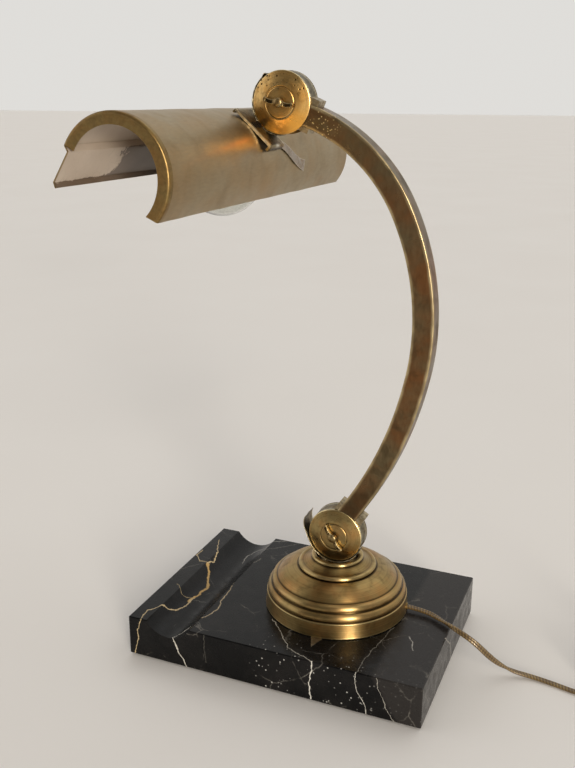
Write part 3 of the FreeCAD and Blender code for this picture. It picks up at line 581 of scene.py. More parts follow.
def distanceToLine(tree, where, points):
    # shortest distance from the shaded place to a chain of straight runs
    nearest = None
    for start, end in zip(points[:-1], points[1:]):
        run = end - start
        away = add(tree, "VectorMath", {0: where, 1: start}, operation="SUBTRACT")
        share = add(tree, "VectorMath", {0: away, 1: run / (run @ run)}, operation="DOT_PRODUCT")
        held = add(tree, "Math", {0: share.outputs["Value"], 1: 0.0}, operation="MAXIMUM")
        held = add(tree, "Math", {0: held, 1: 1.0}, operation="MINIMUM")
        foot = add(tree, "VectorMath", {0: run, "Scale": held}, operation="SCALE")
        gap = add(tree, "VectorMath", {0: away, 1: foot}, operation="DISTANCE")
        distance = gap.outputs["Value"]
        if nearest is not None:
            distance = add(tree, "Math", {0: nearest, 1: distance}, operation="MINIMUM")
        nearest = distance
    return nearest


def marbleMaterial(s):
    # black marble, cut and polished: near-black ground with grey clouds, thin cream and gold veins that
    # branch, faint hairlines, and white flecks; colour = ground + sum of veins where distance < width
    material, tree, shader = startMaterial("black_marble_polished")
    where = add(tree, "TexCoord").outputs["Object"]
    cloud = add(tree, "TexNoise", {"Vector": where, "Scale": perMetre(42 * mm), "Detail": 7.0,
                                   "Roughness": 0.7})
    fine = add(tree, "TexNoise", {"Vector": where, "Scale": perMetre(7 * mm), "Detail": 4.0})
    ground = add(tree, "MapRange", {"Value": cloud, "From Min": 0.42, "From Max": 0.75})
    tone = add(tree, "MixRGB", {"Fac": ground, "Color1": s["ground"], "Color2": s["cloud"]})
    sideways = add(tree, "SeparateXYZ", {0: where})
    # the slab's right part is greyer, beyond a slanting border
    slant = add(tree, "Math", {0: sideways.outputs["Z"], 1: 0.6, 2: sideways.outputs["X"]},
                operation="MULTIPLY_ADD")
    ragged = add(tree, "Math", {0: cloud, 1: 14 * mm, 2: slant}, operation="MULTIPLY_ADD")
    begins, ends = s["rightFrom"]
    right = add(tree, "MapRange", {"Value": ragged, "From Min": begins, "From Max": ends, "To Max": 0.75})
    tone = add(tree, "MixRGB", {"Fac": right, "Color1": tone, "Color2": s["rightPart"]})
    place = where
    for size, reach in s["wander"]:
        noise = add(tree, "TexNoise", {"Vector": where, "Scale": perMetre(size), "Detail": 3.0})
        shift = add(tree, "VectorMath", {0: noise.outputs["Color"], 1: (-0.5, -0.5, -0.5)}, operation="ADD")
        shift = add(tree, "VectorMath", {0: shift, "Scale": 2 * reach}, operation="SCALE")
        place = add(tree, "VectorMath", {0: place, 1: shift}, operation="ADD")
    # hairlines: cell borders of a warped net, seen only in patches
    net = add(tree, "TexVoronoi", {"Vector": place, "Scale": perMetre(34 * mm)}, feature="DISTANCE_TO_EDGE")
    hair = add(tree, "MapRange", {"Value": net.outputs["Distance"], "From Min": 0.012, "From Max": 0.003,
                                  "To Max": 0.5})
    shown = add(tree, "MapRange", {"Value": cloud, "From Min": 0.5, "From Max": 0.6})
    seen = add(tree, "Math", {0: hair, 1: shown}, operation="MULTIPLY")
    tone = add(tree, "MixRGB", {"Fac": seen, "Color1": tone, "Color2": s["hairline"]})
    seenFrom = {}
    for face, (kept, ahead, start) in s["faces"].items():
        flat = add(tree, "VectorMath", {0: place, 1: kept}, operation="MULTIPLY")
        depth = add(tree, "VectorMath", {0: where, 1: ahead}, operation="DOT_PRODUCT")
        onFace = add(tree, "Math", {0: depth.outputs["Value"], 1: start}, operation="GREATER_THAN")
        seenFrom[face] = (flat, onFace)
    for face, halfWidth, hexCode, strength, course in s["veins"]:
        flat, onFace = seenFrom[face]
        points = np.zeros((len(course), 3))
        points[:, np.flatnonzero(s["faces"][face][0])] = np.array(course) * mm
        distance = distanceToLine(tree, flat, points)
        reach = add(tree, "Math", {0: fine, 1: 1.45 * halfWidth * mm}, operation="MULTIPLY")
        share = add(tree, "Math", {0: distance, 1: reach}, operation="DIVIDE")
        vein = add(tree, "MapRange", {"Value": share, "From Min": 1.1, "From Max": 0.7, "To Max": strength})
        shownVein = add(tree, "Math", {0: vein, 1: onFace}, operation="MULTIPLY")
        tone = add(tree, "MixRGB", {"Fac": shownVein, "Color1": tone, "Color2": hexCode})
    flecks = add(tree, "TexVoronoi", {"Vector": where, "Scale": perMetre(3.6 * mm)})
    fleck = add(tree, "MapRange", {"Value": flecks.outputs["Distance"], "From Min": 0.2, "From Max": 0.1})
    few = add(tree, "MapRange", {"Value": fine, "From Min": 0.42, "From Max": 0.52, "To Max": 0.85})
    speck = add(tree, "Math", {0: fleck, 1: few}, operation="MULTIPLY")
    (leftSpan, rightSpan), frontSpan = s["flecksX"], s["flecksY"]
    for way, (start, full), least in (("X", leftSpan, 0.0), ("Y", frontSpan, 0.12), ("X", rightSpan, 0.15)):
        there = {"Value": sideways.outputs[way], "From Min": start, "From Max": full, "To Min": least}
        speck = add(tree, "Math", {0: speck, 1: add(tree, "MapRange", there)}, operation="MULTIPLY")
    tone = add(tree, "MixRGB", {"Fac": speck, "Color1": tone, "Color2": s["fleck"]})
    rough = add(tree, "MapRange", {"Value": fine, "From Min": 0.3, "From Max": 0.75, "To Min": 0.18,
                                   "To Max": 0.4})
    bump = add(tree, "Bump", {"Height": fine, "Strength": 0.12, "Distance": 0.2 * mm})
    connect(tree, shader, {"Base Color": tone, "Roughness": rough, "Normal": bump, "IOR": 1.5,
                           "Specular IOR Level": 0.2})
    return material


marble = marbleMaterial(marbleSettings)
dress("marble_slab", marble)
print("slab dressed")


# ---- turned foot

domeSettings = {
    # outside of the half section: radius and height above the rim, in mm; each trio is an arc
    "rim": [
        (53.8, 0.0), (55.1, 0.0), (55.4, 0.3), (55.4, 0.8), (55.25, 1.3), (55.2, 1.8), (54.86, 6.0),
        (54.53, 10.0),
        (54.5, 10.4),
    ],
    "arcs": [
        ((54.5, 11.0), (54.3, 11.8), (53.6, 12.0)),
        ((53.2, 12.5), (53.6, 15.4), (51.8, 18.0)),
        ((50.8, 18.4), (50.6, 18.9), (50.4, 19.4)),
        ((50.4, 19.4), (50.2, 21.8), (48.2, 23.6)),
        ((46.6, 24.0), (40.6, 29.4), (29.6, 32.6)),
        ((29.6, 32.6), (30.0, 34.6), (28.0, 35.8)),
        ((26.8, 35.6), (22.6, 36.8), (19.4, 39.2)),
        ((19.4, 39.2), (20.0, 40.6), (18.6, 41.6)),
    ],
    "inside": [
        (17.0, 41.6), (16.4, 41.0), (16.4, 35.3), (3.5, 35.3), (3.5, 33.3), (18.0, 33.3), (27.4, 31.2),
        (38.8, 28.2), (45.0, 22.6), (51.6, 14.0), (53.0, 9.0),
    ],
    "grooveReach": 0.8 * mm,
    "steps": 192,
    "metal": {
        "axis": "z", "grain": 1.1 * mm, "grainDepth": 1.4, "lines": 0.16, "patch": 24 * mm, "stain": 0.55,
        "base": "#9c8454", "warm": "#a27b4a", "dark": "#41331d", "bright": "#d6c28c",
        "rough": (0.3, 0.4), "wear": 0.5, "grime": 1.0, "bump": 0.3, "brushed": (0.8, 0.25),
    },
}


def makeDome(s):
    low, high = boxOf("base_dome")
    centre = ((low[0] + high[0]) / 2, (low[1] + high[1]) / 2, low[2])
    parts = [np.array(s["rim"])] + [arcThrough(*arc, 9) for arc in s["arcs"]] + [np.array(s["inside"])]
    profile = np.concatenate(parts) * mm
    keep = np.concatenate([[True], np.linalg.norm(np.diff(profile, axis=0), axis=1) > 1e-6])
    profile = profile[keep]
    marks = bendMarks(profile, s["grooveReach"])
    s["metal"]["centre"] = centre
    # brass, spun over a former and turned: fine rings round the axis, bright ridges, grime in the grooves
    metal = agedBrass("brass_spun_turned", s["metal"])
    grid = lathe(profile, centre, "z", s["steps"], marks, loopRows=True)
    dome = makePiece("turnedFoot", "base", [grid], [metal], sharp=50.0, replaces=("base_dome",))


makeDome(domeSettings)
print("foot turned")


# ---- arm

armSettings = {
    "start": (6.75 * mm, 15.2 * mm),  # from the lower pivot, x and z
    "heading": 54.0,
    "radii": (290.0, 182.7, 118.7),  # mm
    "turns": (25.3, 36.2, 47.4),
    "half": 7.6 * mm,
    "corner": 0.8 * mm,
    "trim": 21.35 * mm,
    "rows": 200,
    "pitted": [(1 * mm, 4 * mm), (17 * mm, 27 * mm)],  # from the upper end: pits come in, then die out
    "darkFoot": (2 * mm, 45 * mm), "darkness": 0.6,  # the faces are darker near the lower end
    "metal": {
        "stretch": (1.0, 1.0, 0.35), "grain": 2.2 * mm, "grainDepth": 0.8, "lines": 0.12, "patch": 34 * mm,
        "stain": 0.7, "base": "#706147", "warm": "#7b5535", "dark": "#463a28", "bright": "#c6b389",
        "rough": (0.26, 0.48), "wear": 0.9, "bump": 0.22, "pit": "#e6cf92", "pitGap": 1.9 * mm,
        "glow": "#33281a",
    },
}


def armPoint(s, along, left):
    # three tangent arcs: the heading grows evenly along each, and a point stands off to the line's left
    radii, turns = np.array(s["radii"]) * mm, np.radians(s["turns"])
    ends = np.concatenate([[0], np.cumsum(radii * turns)])
    headings = math.radians(s["heading"]) + np.concatenate([[0], np.cumsum(turns)])
    x, z = lowerPivot[0] + s["start"][0], lowerPivot[2] + s["start"][1]
    centres = []
    for k, radius in enumerate(radii):
        cx, cz = x - radius * math.sin(headings[k]), z + radius * math.cos(headings[k])
        x, z = cx + radius * math.sin(headings[k + 1]), cz - radius * math.cos(headings[k + 1])
        centres.append((cx, cz))
    centres = np.array(centres)
    k = np.clip(np.searchsorted(ends, along, side="right") - 1, 0, len(radii) - 1)
    heading = headings[k] + (along - ends[k]) / radii[k]
    reach = radii[k] - left
    return centres[k, 0] + reach * np.sin(heading), centres[k, 1] - reach * np.cos(heading)


def makeArm(s):
    # square section with rounded corners carried along the arcs, its two ends cut by the knuckles' barrels
    section, near = roundedSection(s["half"], s["half"], s["corner"], perFlat=8)
    total = (np.array(s["radii"]) * mm * np.radians(s["turns"])).sum()
    dense = np.linspace(0, total, 3000)[:, None]
    x, z = armPoint(s, dense, section[None, :, 0])
    outsideLow = np.hypot(x - lowerPivot[0], z - lowerPivot[2]) > s["trim"]
    outsideHigh = np.hypot(x - upperPivot[0], z - upperPivot[2]) > s["trim"]
    first = dense[np.argmax(outsideLow, axis=0), 0]
    last = dense[len(dense) - 1 - np.argmax(outsideHigh[::-1], axis=0), 0]
    along = first + (last - first) * np.linspace(0, 1, s["rows"])[:, None]
    x, z = armPoint(s, along, section[None, :, 0])
    y = np.broadcast_to(lowerPivot[1] + section[None, :, 1], x.shape)
    toTop = last[None, :] - along
    fromFoot = along - first[None, :]
    edge = near[None, :] * (0.75 + 0.25 * ripple(along * 160, 3))
    comeIn, dieOut = s["pitted"]
    pits = smooth(toTop, *comeIn) * (1 - smooth(toTop, *dieOut))
    shade = s["darkness"] * (1 - smooth(fromFoot, *s["darkFoot"]))
    marks = {"edge": edge, "pits": pits * (section[None, :, 1] < 0), "glow": shade * (1 - near[None, :])}
    grid = tube(np.stack([x, y, z], -1), marks)
    # brass tube, drawn square, bent and long unpolished: brown-olive patches, orange flushes, bright edges
    metal = agedBrass("brass_drawn_tarnished", s["metal"])
    arm = makePiece("arm", "arm", [grid], [metal], sharp=50.0, replaces=("arm_tube",))


makeArm(armSettings)
print("arm bent")


# ---- shade

shadeSettings = {
    "radius": 37.0 * mm,
    "sheet": 0.8 * mm,
    "lip": 7.6 * mm,
    "bend": 1.7 * mm,  # outside radius of the turned-in end
    "low": -41.0, "high": 151.0,
    "crease": (-30.2, 13.7), "tip": (-42.3, -3.7), "hem": (-41.3, -7.6),  # mm from the axis
    "cutEdge": 0.25 * mm,  # roundness of the wing's ends, which have no lip
    "levelShare": 0.3, "levelFade": 0.25,  # how the lip's lowest rows are cut level, and over which angle
    "dent": 0.16 * mm, "wingWave": 0.5 * mm, "dentFree": 25 * mm,
    "lengthSteps": 110, "arcSteps": 116, "flatSteps": (5, 30, 6), "roundSteps": 6, "lipSteps": 4,
    "peelSpan": (42 * mm, 84 * mm),  # from the near end: bare sheet takes over the paint
    # a painted reflection, a narrow warm streak up the flank: angles in degrees, where it starts, its run,
    # half width, strength
    "paintedReflection": {"angle": 7.0, "climb": 21.0, "start": -137.5 * mm, "run": 98 * mm, "bend": 0.85,
               "half": 0.06,
               "strength": 0.34, "grows": (-95 * mm, -45 * mm), "ends": (-38 * mm, -26 * mm)},
    # a brown cloud beside the bracket: its angle, spread, middle and reach along the shade, strength
    "brown": {"angle": 40.0, "spread": 0.3, "middle": -36 * mm, "reach": 26 * mm, "strength": 0.3},
    "outside": {
        "stretch": (1.0, 0.25, 1.0), "grain": 1.4 * mm, "grainDepth": 0.5, "lines": 0.06, "patch": 46 * mm,
        "stain": 0.35, "base": "#9c8b6c", "warm": "#9d835c", "dark": "#7f6c4e", "bright": "#cdbd98",
        "rough": (0.36, 0.46), "wear": 0.4, "bump": 0.14,
        # glow: colour of the painted reflection streak up the flank
        "glow": "#d8935c",
    },
    "lipMetal": {
        "grain": 1.6 * mm, "lines": 0.1, "patch": 16 * mm, "stain": 0.6, "base": "#8a7449",
        "warm": "#8d6d41",
        "dark": "#5a482e", "bright": "#c9b27c", "rough": (0.32, 0.5), "bump": 0.2,
    },
    "paint": {"fresh": "#c9bbab", "aged": "#ac9a88", "metal": "#77685a", "rust": "#574636"},
}


def paintMaterial(s):
    # oil paint, brushed on brass and peeling: cream coat, raised flaking border with a painted shadow along
    # it, bare dark sheet beyond it
    material, tree, shader = startMaterial("cream_paint_peeling")
    where = add(tree, "TexCoord").outputs["Object"]
    peelMark = add(tree, "Attribute", attribute_name="peel").outputs["Fac"]
    cloud = add(tree, "TexNoise", {"Vector": where, "Scale": perMetre(22 * mm), "Detail": 4.0})
    flake = add(tree, "TexNoise", {"Vector": where, "Scale": perMetre(7 * mm), "Detail": 8.0,
                                   "Roughness": 0.7})
    cracks = add(tree, "TexVoronoi", {"Vector": where, "Scale": perMetre(6 * mm)},
                 feature="DISTANCE_TO_EDGE")
    ragged = add(tree, "Math", {0: flake, 1: 1.1, 2: peelMark}, operation="MULTIPLY_ADD")
    bare = add(tree, "MapRange", {"Value": ragged, "From Min": 1.04, "From Max": 1.07})
    # a painted shadow along the raised flaking border
    borderShadow = add(tree, "MapRange", {"Value": ragged, "From Min": 0.98, "From Max": 1.05})
    coat = add(tree, "MixRGB", {"Fac": cloud, "Color1": s["fresh"], "Color2": s["aged"]})
    crack = add(tree, "MapRange", {"Value": cracks.outputs["Distance"], "From Min": 0.03, "From Max": 0.0,
                                   "To Max": 0.7})
    crackSeen = add(tree, "Math", {0: crack, 1: peelMark}, operation="MULTIPLY", use_clamp=True)
    coat = add(tree, "MixRGB", {"Fac": crackSeen, "Color1": coat, "Color2": s["rust"]})
    coatWithBorderShadow = add(tree, "MixRGB", {"Fac": borderShadow, "Color1": coat, "Color2": "#8c7d6e"})
    sheet = add(tree, "MixRGB", {"Fac": cloud, "Color1": s["metal"], "Color2": s["rust"]})
    tone = add(tree, "MixRGB", {"Fac": bare, "Color1": coatWithBorderShadow, "Color2": sheet})
    rough = add(tree, "MapRange", {"Value": bare, "To Min": 0.55, "To Max": 0.42})
    thick = add(tree, "Math", {0: bare, 1: -1.0, 2: flake}, operation="MULTIPLY_ADD")
    bump = add(tree, "Bump", {"Height": thick, "Strength": 0.5, "Distance": 0.25 * mm})
    connect(tree, shader, {"Base Color": tone, "Roughness": rough, "Normal": bump})
    return material


def makeShade(s):
    # rows follow the sheet's section (arc, crease, straight wing, hem); columns run out along the outside,
    # round the turned-in end, and back along the inside, so the sheet has its thickness and both lips
    low, high = boxOf("shade_shell")
    axis = np.array([high[0] - s["radius"], high[2] - s["radius"]])
    angles = np.radians(np.linspace(s["low"], s["high"], s["arcSteps"]))
    arc = s["radius"] * np.stack([np.cos(angles), np.sin(angles)], -1)
    corners = [np.array(s[key]) * mm for key in ("crease", "tip", "hem")]
    runs = [arc]
    before = arc[-1]
    for corner, count in zip(corners, s["flatSteps"]):
        runs.append(before + (corner - before) * np.linspace(0, 1, count + 1)[1:, None])
        before = corner
    section = np.concatenate(runs)
    tangent = np.gradient(section, axis=0)
    tangent /= np.linalg.norm(tangent, axis=1, keepdims=True)
    inward = np.stack([-tangent[:, 1], tangent[:, 0]], -1)
    rows = len(section)
    onWing = np.arange(rows) >= len(angles)
    travel = np.concatenate([angles, np.full(rows - len(angles), angles[-1])])
    wingStart = len(angles) + s["flatSteps"][0] - 1
    down = np.concatenate([np.zeros(wingStart), np.linspace(0, 1, rows - wingStart)])
    lipDepth = np.where(onWing, s["sheet"], s["lip"])[:, None]
    bend = np.where(onWing, s["cutEdge"], s["bend"])[:, None]
    quarter = np.linspace(0, math.pi / 2, s["roundSteps"])
    y0, y1, t = low[1], high[1], s["sheet"]
    n = s["lengthSteps"]
    one = np.ones((rows, 1))
    lipSteps = np.linspace(1, 0, s["lipSteps"] + 1)[None, :-1]
    lipY = np.ones((rows, s["lipSteps"]))
    lipD = bend + (lipDepth - bend) * lipSteps
    roundY = bend * (1 - np.cos(quarter))
    roundD = bend * (1 - np.sin(quarter))
    along = np.linspace(0, 1, n)[None, :]
    outY = (y0 + bend) + (y1 - y0 - 2 * bend) * along
    innerBend = np.maximum(bend - t, 0.05 * mm)
    inY = (y0 + t + innerBend) + (y1 - y0 - 2 * t - 2 * innerBend) * along
    innerRoundY = innerBend * (1 - np.cos(quarter))
    innerRoundD = t + innerBend * (1 - np.sin(quarter))
    columnsY = [y0 * lipY, y0 + roundY, outY[:, 1:-1], y1 - roundY[:, ::-1], y1 * lipY,
                (y1 - t) * one, y1 - t - innerRoundY, inY[:, ::-1][:, 1:-1], y0 + t + innerRoundY[:, ::-1],
                (y0 + t) * one]
    zero = np.zeros((rows, n - 2))
    columnsD = [lipD, roundD, zero, roundD[:, ::-1], lipD[:, ::-1], lipDepth, innerRoundD, zero + t,
                innerRoundD[:, ::-1], lipDepth]
    Y, D = np.concatenate(columnsY, 1), np.concatenate(columnsD, 1)
    # the lower edge is cut level, so the lip's lowest rows follow a level line
    lowZ = s["radius"] * math.sin(angles[0])
    level = np.arcsin(np.clip(lowZ / (s["radius"] - D), -1, 1)) - angles[0]
    fade = 1 - smooth(travel, angles[0], angles[0] + s["levelFade"])[:, None]
    onArc = travel[:, None] + s["levelShare"] * level * fade
    fadeEnds = smooth(Y, y0, y0 + s["dentFree"]) * (1 - smooth(Y, y1 - s["dentFree"], y1))
    wave = s["dent"] * (1 + ripple(Y * 60 + travel[:, None] * 2.1, 5)) * fadeEnds
    wingWave = s["wingWave"] * (1 + ripple(Y * 42, 9)) * down[:, None]
    depth = D + wave + np.where(onWing[:, None], wingWave, 0)
    arcX, arcZ = (s["radius"] - depth) * np.cos(onArc), (s["radius"] - depth) * np.sin(onArc)
    flatX, flatZ = section[:, :1] + inward[:, :1] * depth, section[:, 1:] + inward[:, 1:] * depth
    X = np.where(onWing[:, None], flatX, arcX) + axis[0]
    Z = np.where(onWing[:, None], flatZ, arcZ) + axis[1]
    cols = Y.shape[1]
    group = np.repeat([1, 1, 0, 1, 1, 1, 2, 2, 2, 1], [c.shape[1] for c in columnsY])
    slots = np.broadcast_to(group[None, :], (rows, cols)).copy()
    slots[len(angles) - 1:][slots[len(angles) - 1:] == 1] = 0
    lipEdge = np.isclose(D, bend + 0 * D, atol=1e-5) | np.isclose(D, lipDepth + 0 * D)
    edge = np.where(lipEdge, 0.3, 0.0)
    edge[0] = edge[-1] = 0.5
    peelFrom, peelFull = s["peelSpan"]
    far = smooth(Y, y0 + peelFrom, y0 + peelFull)
    beyondCrease = (np.arange(rows) >= wingStart)[:, None]
    peel = np.where(beyondCrease, 0.12 + 0.55 * smooth(down[:, None], 0.6, 0.95) + 0.75 * far, 0.0)
    # a painted reflection, a narrow warm streak, climbs from the near end's flank to the bracket, and the
    # skin is darker brown beside it
    line, cloud = s["paintedReflection"], s["brown"]
    climbed = np.clip((Y - line["start"]) / line["run"], 0, 1.1) ** line["bend"]
    course = np.radians(line["angle"] + line["climb"] * climbed)
    paintedReflection = np.exp(-((travel[:, None] - course) / line["half"]) ** 2)
    paintedReflection *= 0.25 + 0.75 * smooth(Y, *line["grows"])
    paintedReflection *= smooth(Y, y0 + 6 * mm, y0 + 30 * mm) * (1 - smooth(Y, *line["ends"]))
    aside = (travel[:, None] - math.radians(cloud["angle"])) / cloud["spread"]
    beside = (Y - cloud["middle"]) / cloud["reach"]
    outer = D < t / 2
    edge = edge - cloud["strength"] * np.exp(-aside**2 - beside**2) * outer
    marks = {"edge": edge, "peel": peel, "glow": line["strength"] * paintedReflection * outer}
    grid = {**tube(np.stack([X, Y, Z], -1), marks), "slots": slots[:-1], "capSlot": 0}
    # brass sheet, rolled, lacquer gone dull: even khaki skin with soft warm patches
    outside = agedBrass("brass_rolled_dull", s["outside"])
    lip = agedBrass("brass_turned_lip", s["lipMetal"])
    shade = makePiece("shade", "shade", [grid], [outside, lip, paintMaterial(s["paint"])], sharp=40.0,
                      replaces=("shade_shell",))


makeShade(shadeSettings)
print("shade rolled")


# ---- knuckles

knuckleSettings = {
    "faceY": -6.5 * mm,  # the caps' rims, from the knuckle's middle
    "profile": [
        (0.0, 4.0), (6.0, 3.98), (9.4, 3.86), (10.2, 3.74), (10.5, 3.35), (10.8, 3.6), (11.6, 3.5),
        (13.4, 3.1),
        (15.4, 2.55), (17.4, 1.9), (19.0, 1.35), (20.2, 1.0), (20.8, 0.75), (21.0, 0.4), (20.9, 0.0),
        (17.6, 0.0), (14.4, 1.4), (10.5, 2.6), (0.0, 3.0),
    ],
    "caps": [
        # node, body, pivot, how strong its painted reflection and its pits are, colours
        ("lower_cap_front", "base", lowerPivot, 0.25, 0.25,
         {"base": "#a08b5c", "warm": "#a5814f", "glow": "#a8763c"}),
        ("upper_cap_front", "arm", upperPivot, 0.95, 1.0,
         {"base": "#c7a365", "warm": "#c79650", "glow": "#ffbb55"}),
    ],
    "metal": {
        "axis": "y", "grain": 0.9 * mm, "grainDepth": 1.0, "lines": 0.12, "patch": 11 * mm, "stain": 0.5,
        "dark": "#553f24", "bright": "#e6d5a2", "rough": (0.26, 0.42), "wear": 0.7, "grime": 0.75,
        "bump": 0.25, "pit": "#3a2610", "pitGap": 3.0 * mm,
    },
    "bands": [
        # piece, node, body, pivot, from, to, inner radius, thickness, half width, flare, seed
        ("lowerBand", "lower_band", "arm", lowerPivot, -22.0, 150.0, 20.0, 1.0, 6.3, 0.0, 2),
        ("upperBand", "upper_band", "arm", upperPivot, -60.0, 120.0, 20.0, 1.0, 6.3, 0.0, 4),
        ("lowerCradle", "lower_cradle", "base", lowerPivot, 154.0, 322.0, 21.4, 1.0, 9.2, 4.8, 6),
    ],
    "upperCradle": (upperPivot, 124.0, 262.0, 21.4, 1.0, 7.4, 0.9, 8),
    # strips: shares and rates of their ragged edges, raised lines along them (height and half gap), dents
    "strip": {"ragged": 0.035, "raggedRate": 9, "line": 0.16, "lineGap": 1.05, "dent": 0.2, "dentRate": 14,
              "rounding": 0.3},
    "bandMetal": {
        "grain": 1.2 * mm, "lines": 0.16, "patch": 9 * mm, "stain": 0.8, "base": "#7f775f",
        "warm": "#7d6845",
        "dark": "#2f291c", "bright": "#e9dfc0", "rough": (0.28, 0.5), "wear": 0.8, "bump": 0.35,
    },
    "wings": [
        # node, body, pivot, turn, reach of a wing
        ("lower_wing_screw", "lower_wing", lowerPivot, -55.0, 11.6),
        ("upper_wing_screw", "upper_wing", upperPivot, -12.0, 10.8),
    ],
    "wingFace": 10.7 * mm,  # the boss's base, in front of the knuckle's middle
    "wingRoot": 2.2,  # mm from the axis
    "wingBow": 0.5,
    # boss: radius and distance in front of its base in mm, and how worn or grimy
    "boss": [(0, 4.25, 0), (1.6, 4.15, 0.1), (2.6, 3.8, 0.3), (3.2, 3.2, 0.4), (3.3, 2.4, 0.2),
             (3.3, 0.2, -0.6),
             (3.1, 0, -0.8), (0, 0, 0)],
    "wingMetal": {
        "grain": 0.8 * mm, "lines": 0.15, "patch": 5 * mm, "stain": 0.8, "base": "#94815a",
        "warm": "#937243",
        "dark": "#3d3220", "bright": "#cdbb8c", "rough": (0.28, 0.45), "wear": 0.8, "bump": 0.3,
        "grime": 0.9,
    },
}


def makeCap(node, body, pivot, glow, pitting, tones, s):
    # turned profile with a slightly uneven rim; a warm painted reflection low on the dome, and it is pitted
    # above the middle
    profile = np.array(s["profile"]) * (mm, -mm)
    marks = bendMarks(profile * (1, -1), 0.5 * mm) * -1
    grid = lathe(profile, (pivot[0], pivot[1] + s["faceY"], pivot[2]), "y", 96, marks)
    x, z = grid["points"][..., 0] - pivot[0], grid["points"][..., 2] - pivot[2]
    radius, angle = np.hypot(x, z), np.degrees(np.arctan2(z, x))
    uneven = 0.12 * mm * ripple(np.radians(angle) * 2, 3)
    grid["points"][..., 1] += uneven * smooth(radius, 12 * mm, 20 * mm)
    # glow: a warm painted reflection on the dome's lower right
    grid["marks"]["glow"] = glow * np.exp(-((angle + 55) / 34) ** 2) * smooth(radius, 10.6 * mm, 12 * mm)
    grid["marks"]["pits"] = pitting * smooth(z, 4 * mm, 9 * mm) * smooth(radius, 10.5 * mm, 12 * mm)
    # brass, pressed and lacquered: golden dome with a stepped middle, dark specks where the lacquer failed
    metal = agedBrass("brass_pressed_" + node.split("_")[0],
                      {**s["metal"], **tones, "centre": tuple(pivot)})
    cap = makePiece(node.split("_")[0] + "CapFront", body, [grid], [metal], sharp=60.0, replaces=(node,))


def bandGrid(pivot, start, end, inner, thick, half, flare, seed):
    # thin strip bent round the knuckle: a flat section carried along an arc whose end may flare away;
    # the section is rippled along its length, as if cut with shears
    angle = np.radians(np.linspace(start, end, 110))[:, None]
    s = knuckleSettings["strip"]
    section, near = roundedSection(thick / 2 * mm, half * mm, s["rounding"] * mm, perFlat=9)
    across, outward = section[None, :, 1], section[None, :, 0]
    lift = flare * (1 - smooth(angle, math.radians(start), math.radians(start + 10 * flare))) ** 1.2
    nearEdge = np.abs(across) > half * 0.6 * mm
    ragged = 1 - s["ragged"] * (1 + ripple(angle * s["raggedRate"], seed)) * nearEdge
    ridges = s["line"] * np.cos(across / (s["lineGap"] * mm) * math.pi) * mm * (outward > 0)
    dents = 1 - s["dent"] * (1 + ripple(angle * s["dentRate"], seed + 1))
    radius = (inner + thick / 2 + lift) * mm + outward * dents
    radius = radius - s["line"] * mm * (outward > 0) + ridges
    y = np.broadcast_to(pivot[1] + section[None, :, 1] * ragged, radius.shape)
    points = np.stack([pivot[0] + radius * np.cos(angle), y, pivot[2] + radius * np.sin(angle)], -1)
    edge = near[None, :] * 0.9 + 2.2 * np.minimum(ridges, 0) / mm + 0 * radius
    return tube(points, {"edge": edge})


def makeBand(name, node, body, *shape, metal):
    band = makePiece(name, body, [bandGrid(*shape)], [metal], sharp=50.0, replaces=(node,))


def makeWing(node, body, pivot, turn, reach, s, metal):
    # two tapering arms with a sunk middle, one each side of a small boss
    face = pivot[1] - s["wingFace"]
    root = s["wingRoot"]
    unit, near = roundedSection(1.0, 1.0, 0.4, perFlat=6)
    r = np.linspace(root, reach, 30)[:, None]
    half = np.interp(r, [root, 4.0, reach - 2.6, reach - 1.1, reach - 0.3, reach],
                     [2.2, 1.7, 1.5, 1.8, 1.5, 0.9])
    sink = smooth(r, 3.6, 4.6) * (1 - smooth(r, reach - 2.1, reach - 1.3))
    a = unit[None, :, 0] * half
    front = (unit[None, :, 1] < -0.5) * np.exp(-((unit[None, :, 0] / 0.5) ** 6))
    b = -1.8 + unit[None, :, 1] * 1.5 + front * sink * 1.2
    grids = []
    for side in (0.0, math.pi):
        angle = math.radians(turn) + side
        bow = s["wingBow"] * np.sin((r - root) / (reach - root) * math.pi * 1.3) * (1 if side else -1)
        x = r * math.cos(angle) - (a + bow) * math.sin(angle)
        z = r * math.sin(angle) + (a + bow) * math.cos(angle)
        points = np.stack([pivot[0] + x * mm, face + b * mm + 0 * x, pivot[2] + z * mm], -1)
        marks = {"edge": np.clip(near[None, :] * 0.6 - front * sink * 0.8, -1, 1) + 0 * a}
        grids.append(tube(points, marks))
    outline = np.array(s["boss"])
    boss = lathe(outline[:, :2] * (mm, -mm), (pivot[0], face, pivot[2]), "y", 40, outline[:, 2])
    wing = makePiece(node.split("_")[0] + "WingScrew", body, grids + [boss], [metal], sharp=50.0,
                     replaces=(node,))


for row in knuckleSettings["caps"]:
    makeCap(*row, knuckleSettings)
# brass strip, cut with shears and bent by hand: grey-olive skin, bright rubbed edges
stripMetal = agedBrass("brass_strip_handcut", knuckleSettings["bandMetal"])
for row in knuckleSettings["bands"]:
    makeBand(*row, metal=stripMetal)
# brass, cast and filed: bright where fingers touch, dark in the sunk middle
wingMetal = agedBrass("brass_cast_filed", knuckleSettings["wingMetal"])
for row in knuckleSettings["wings"]:
    makeWing(*row, knuckleSettings, wingMetal)
print("knuckles fitted")


# ---- bracket and leaf on the shade

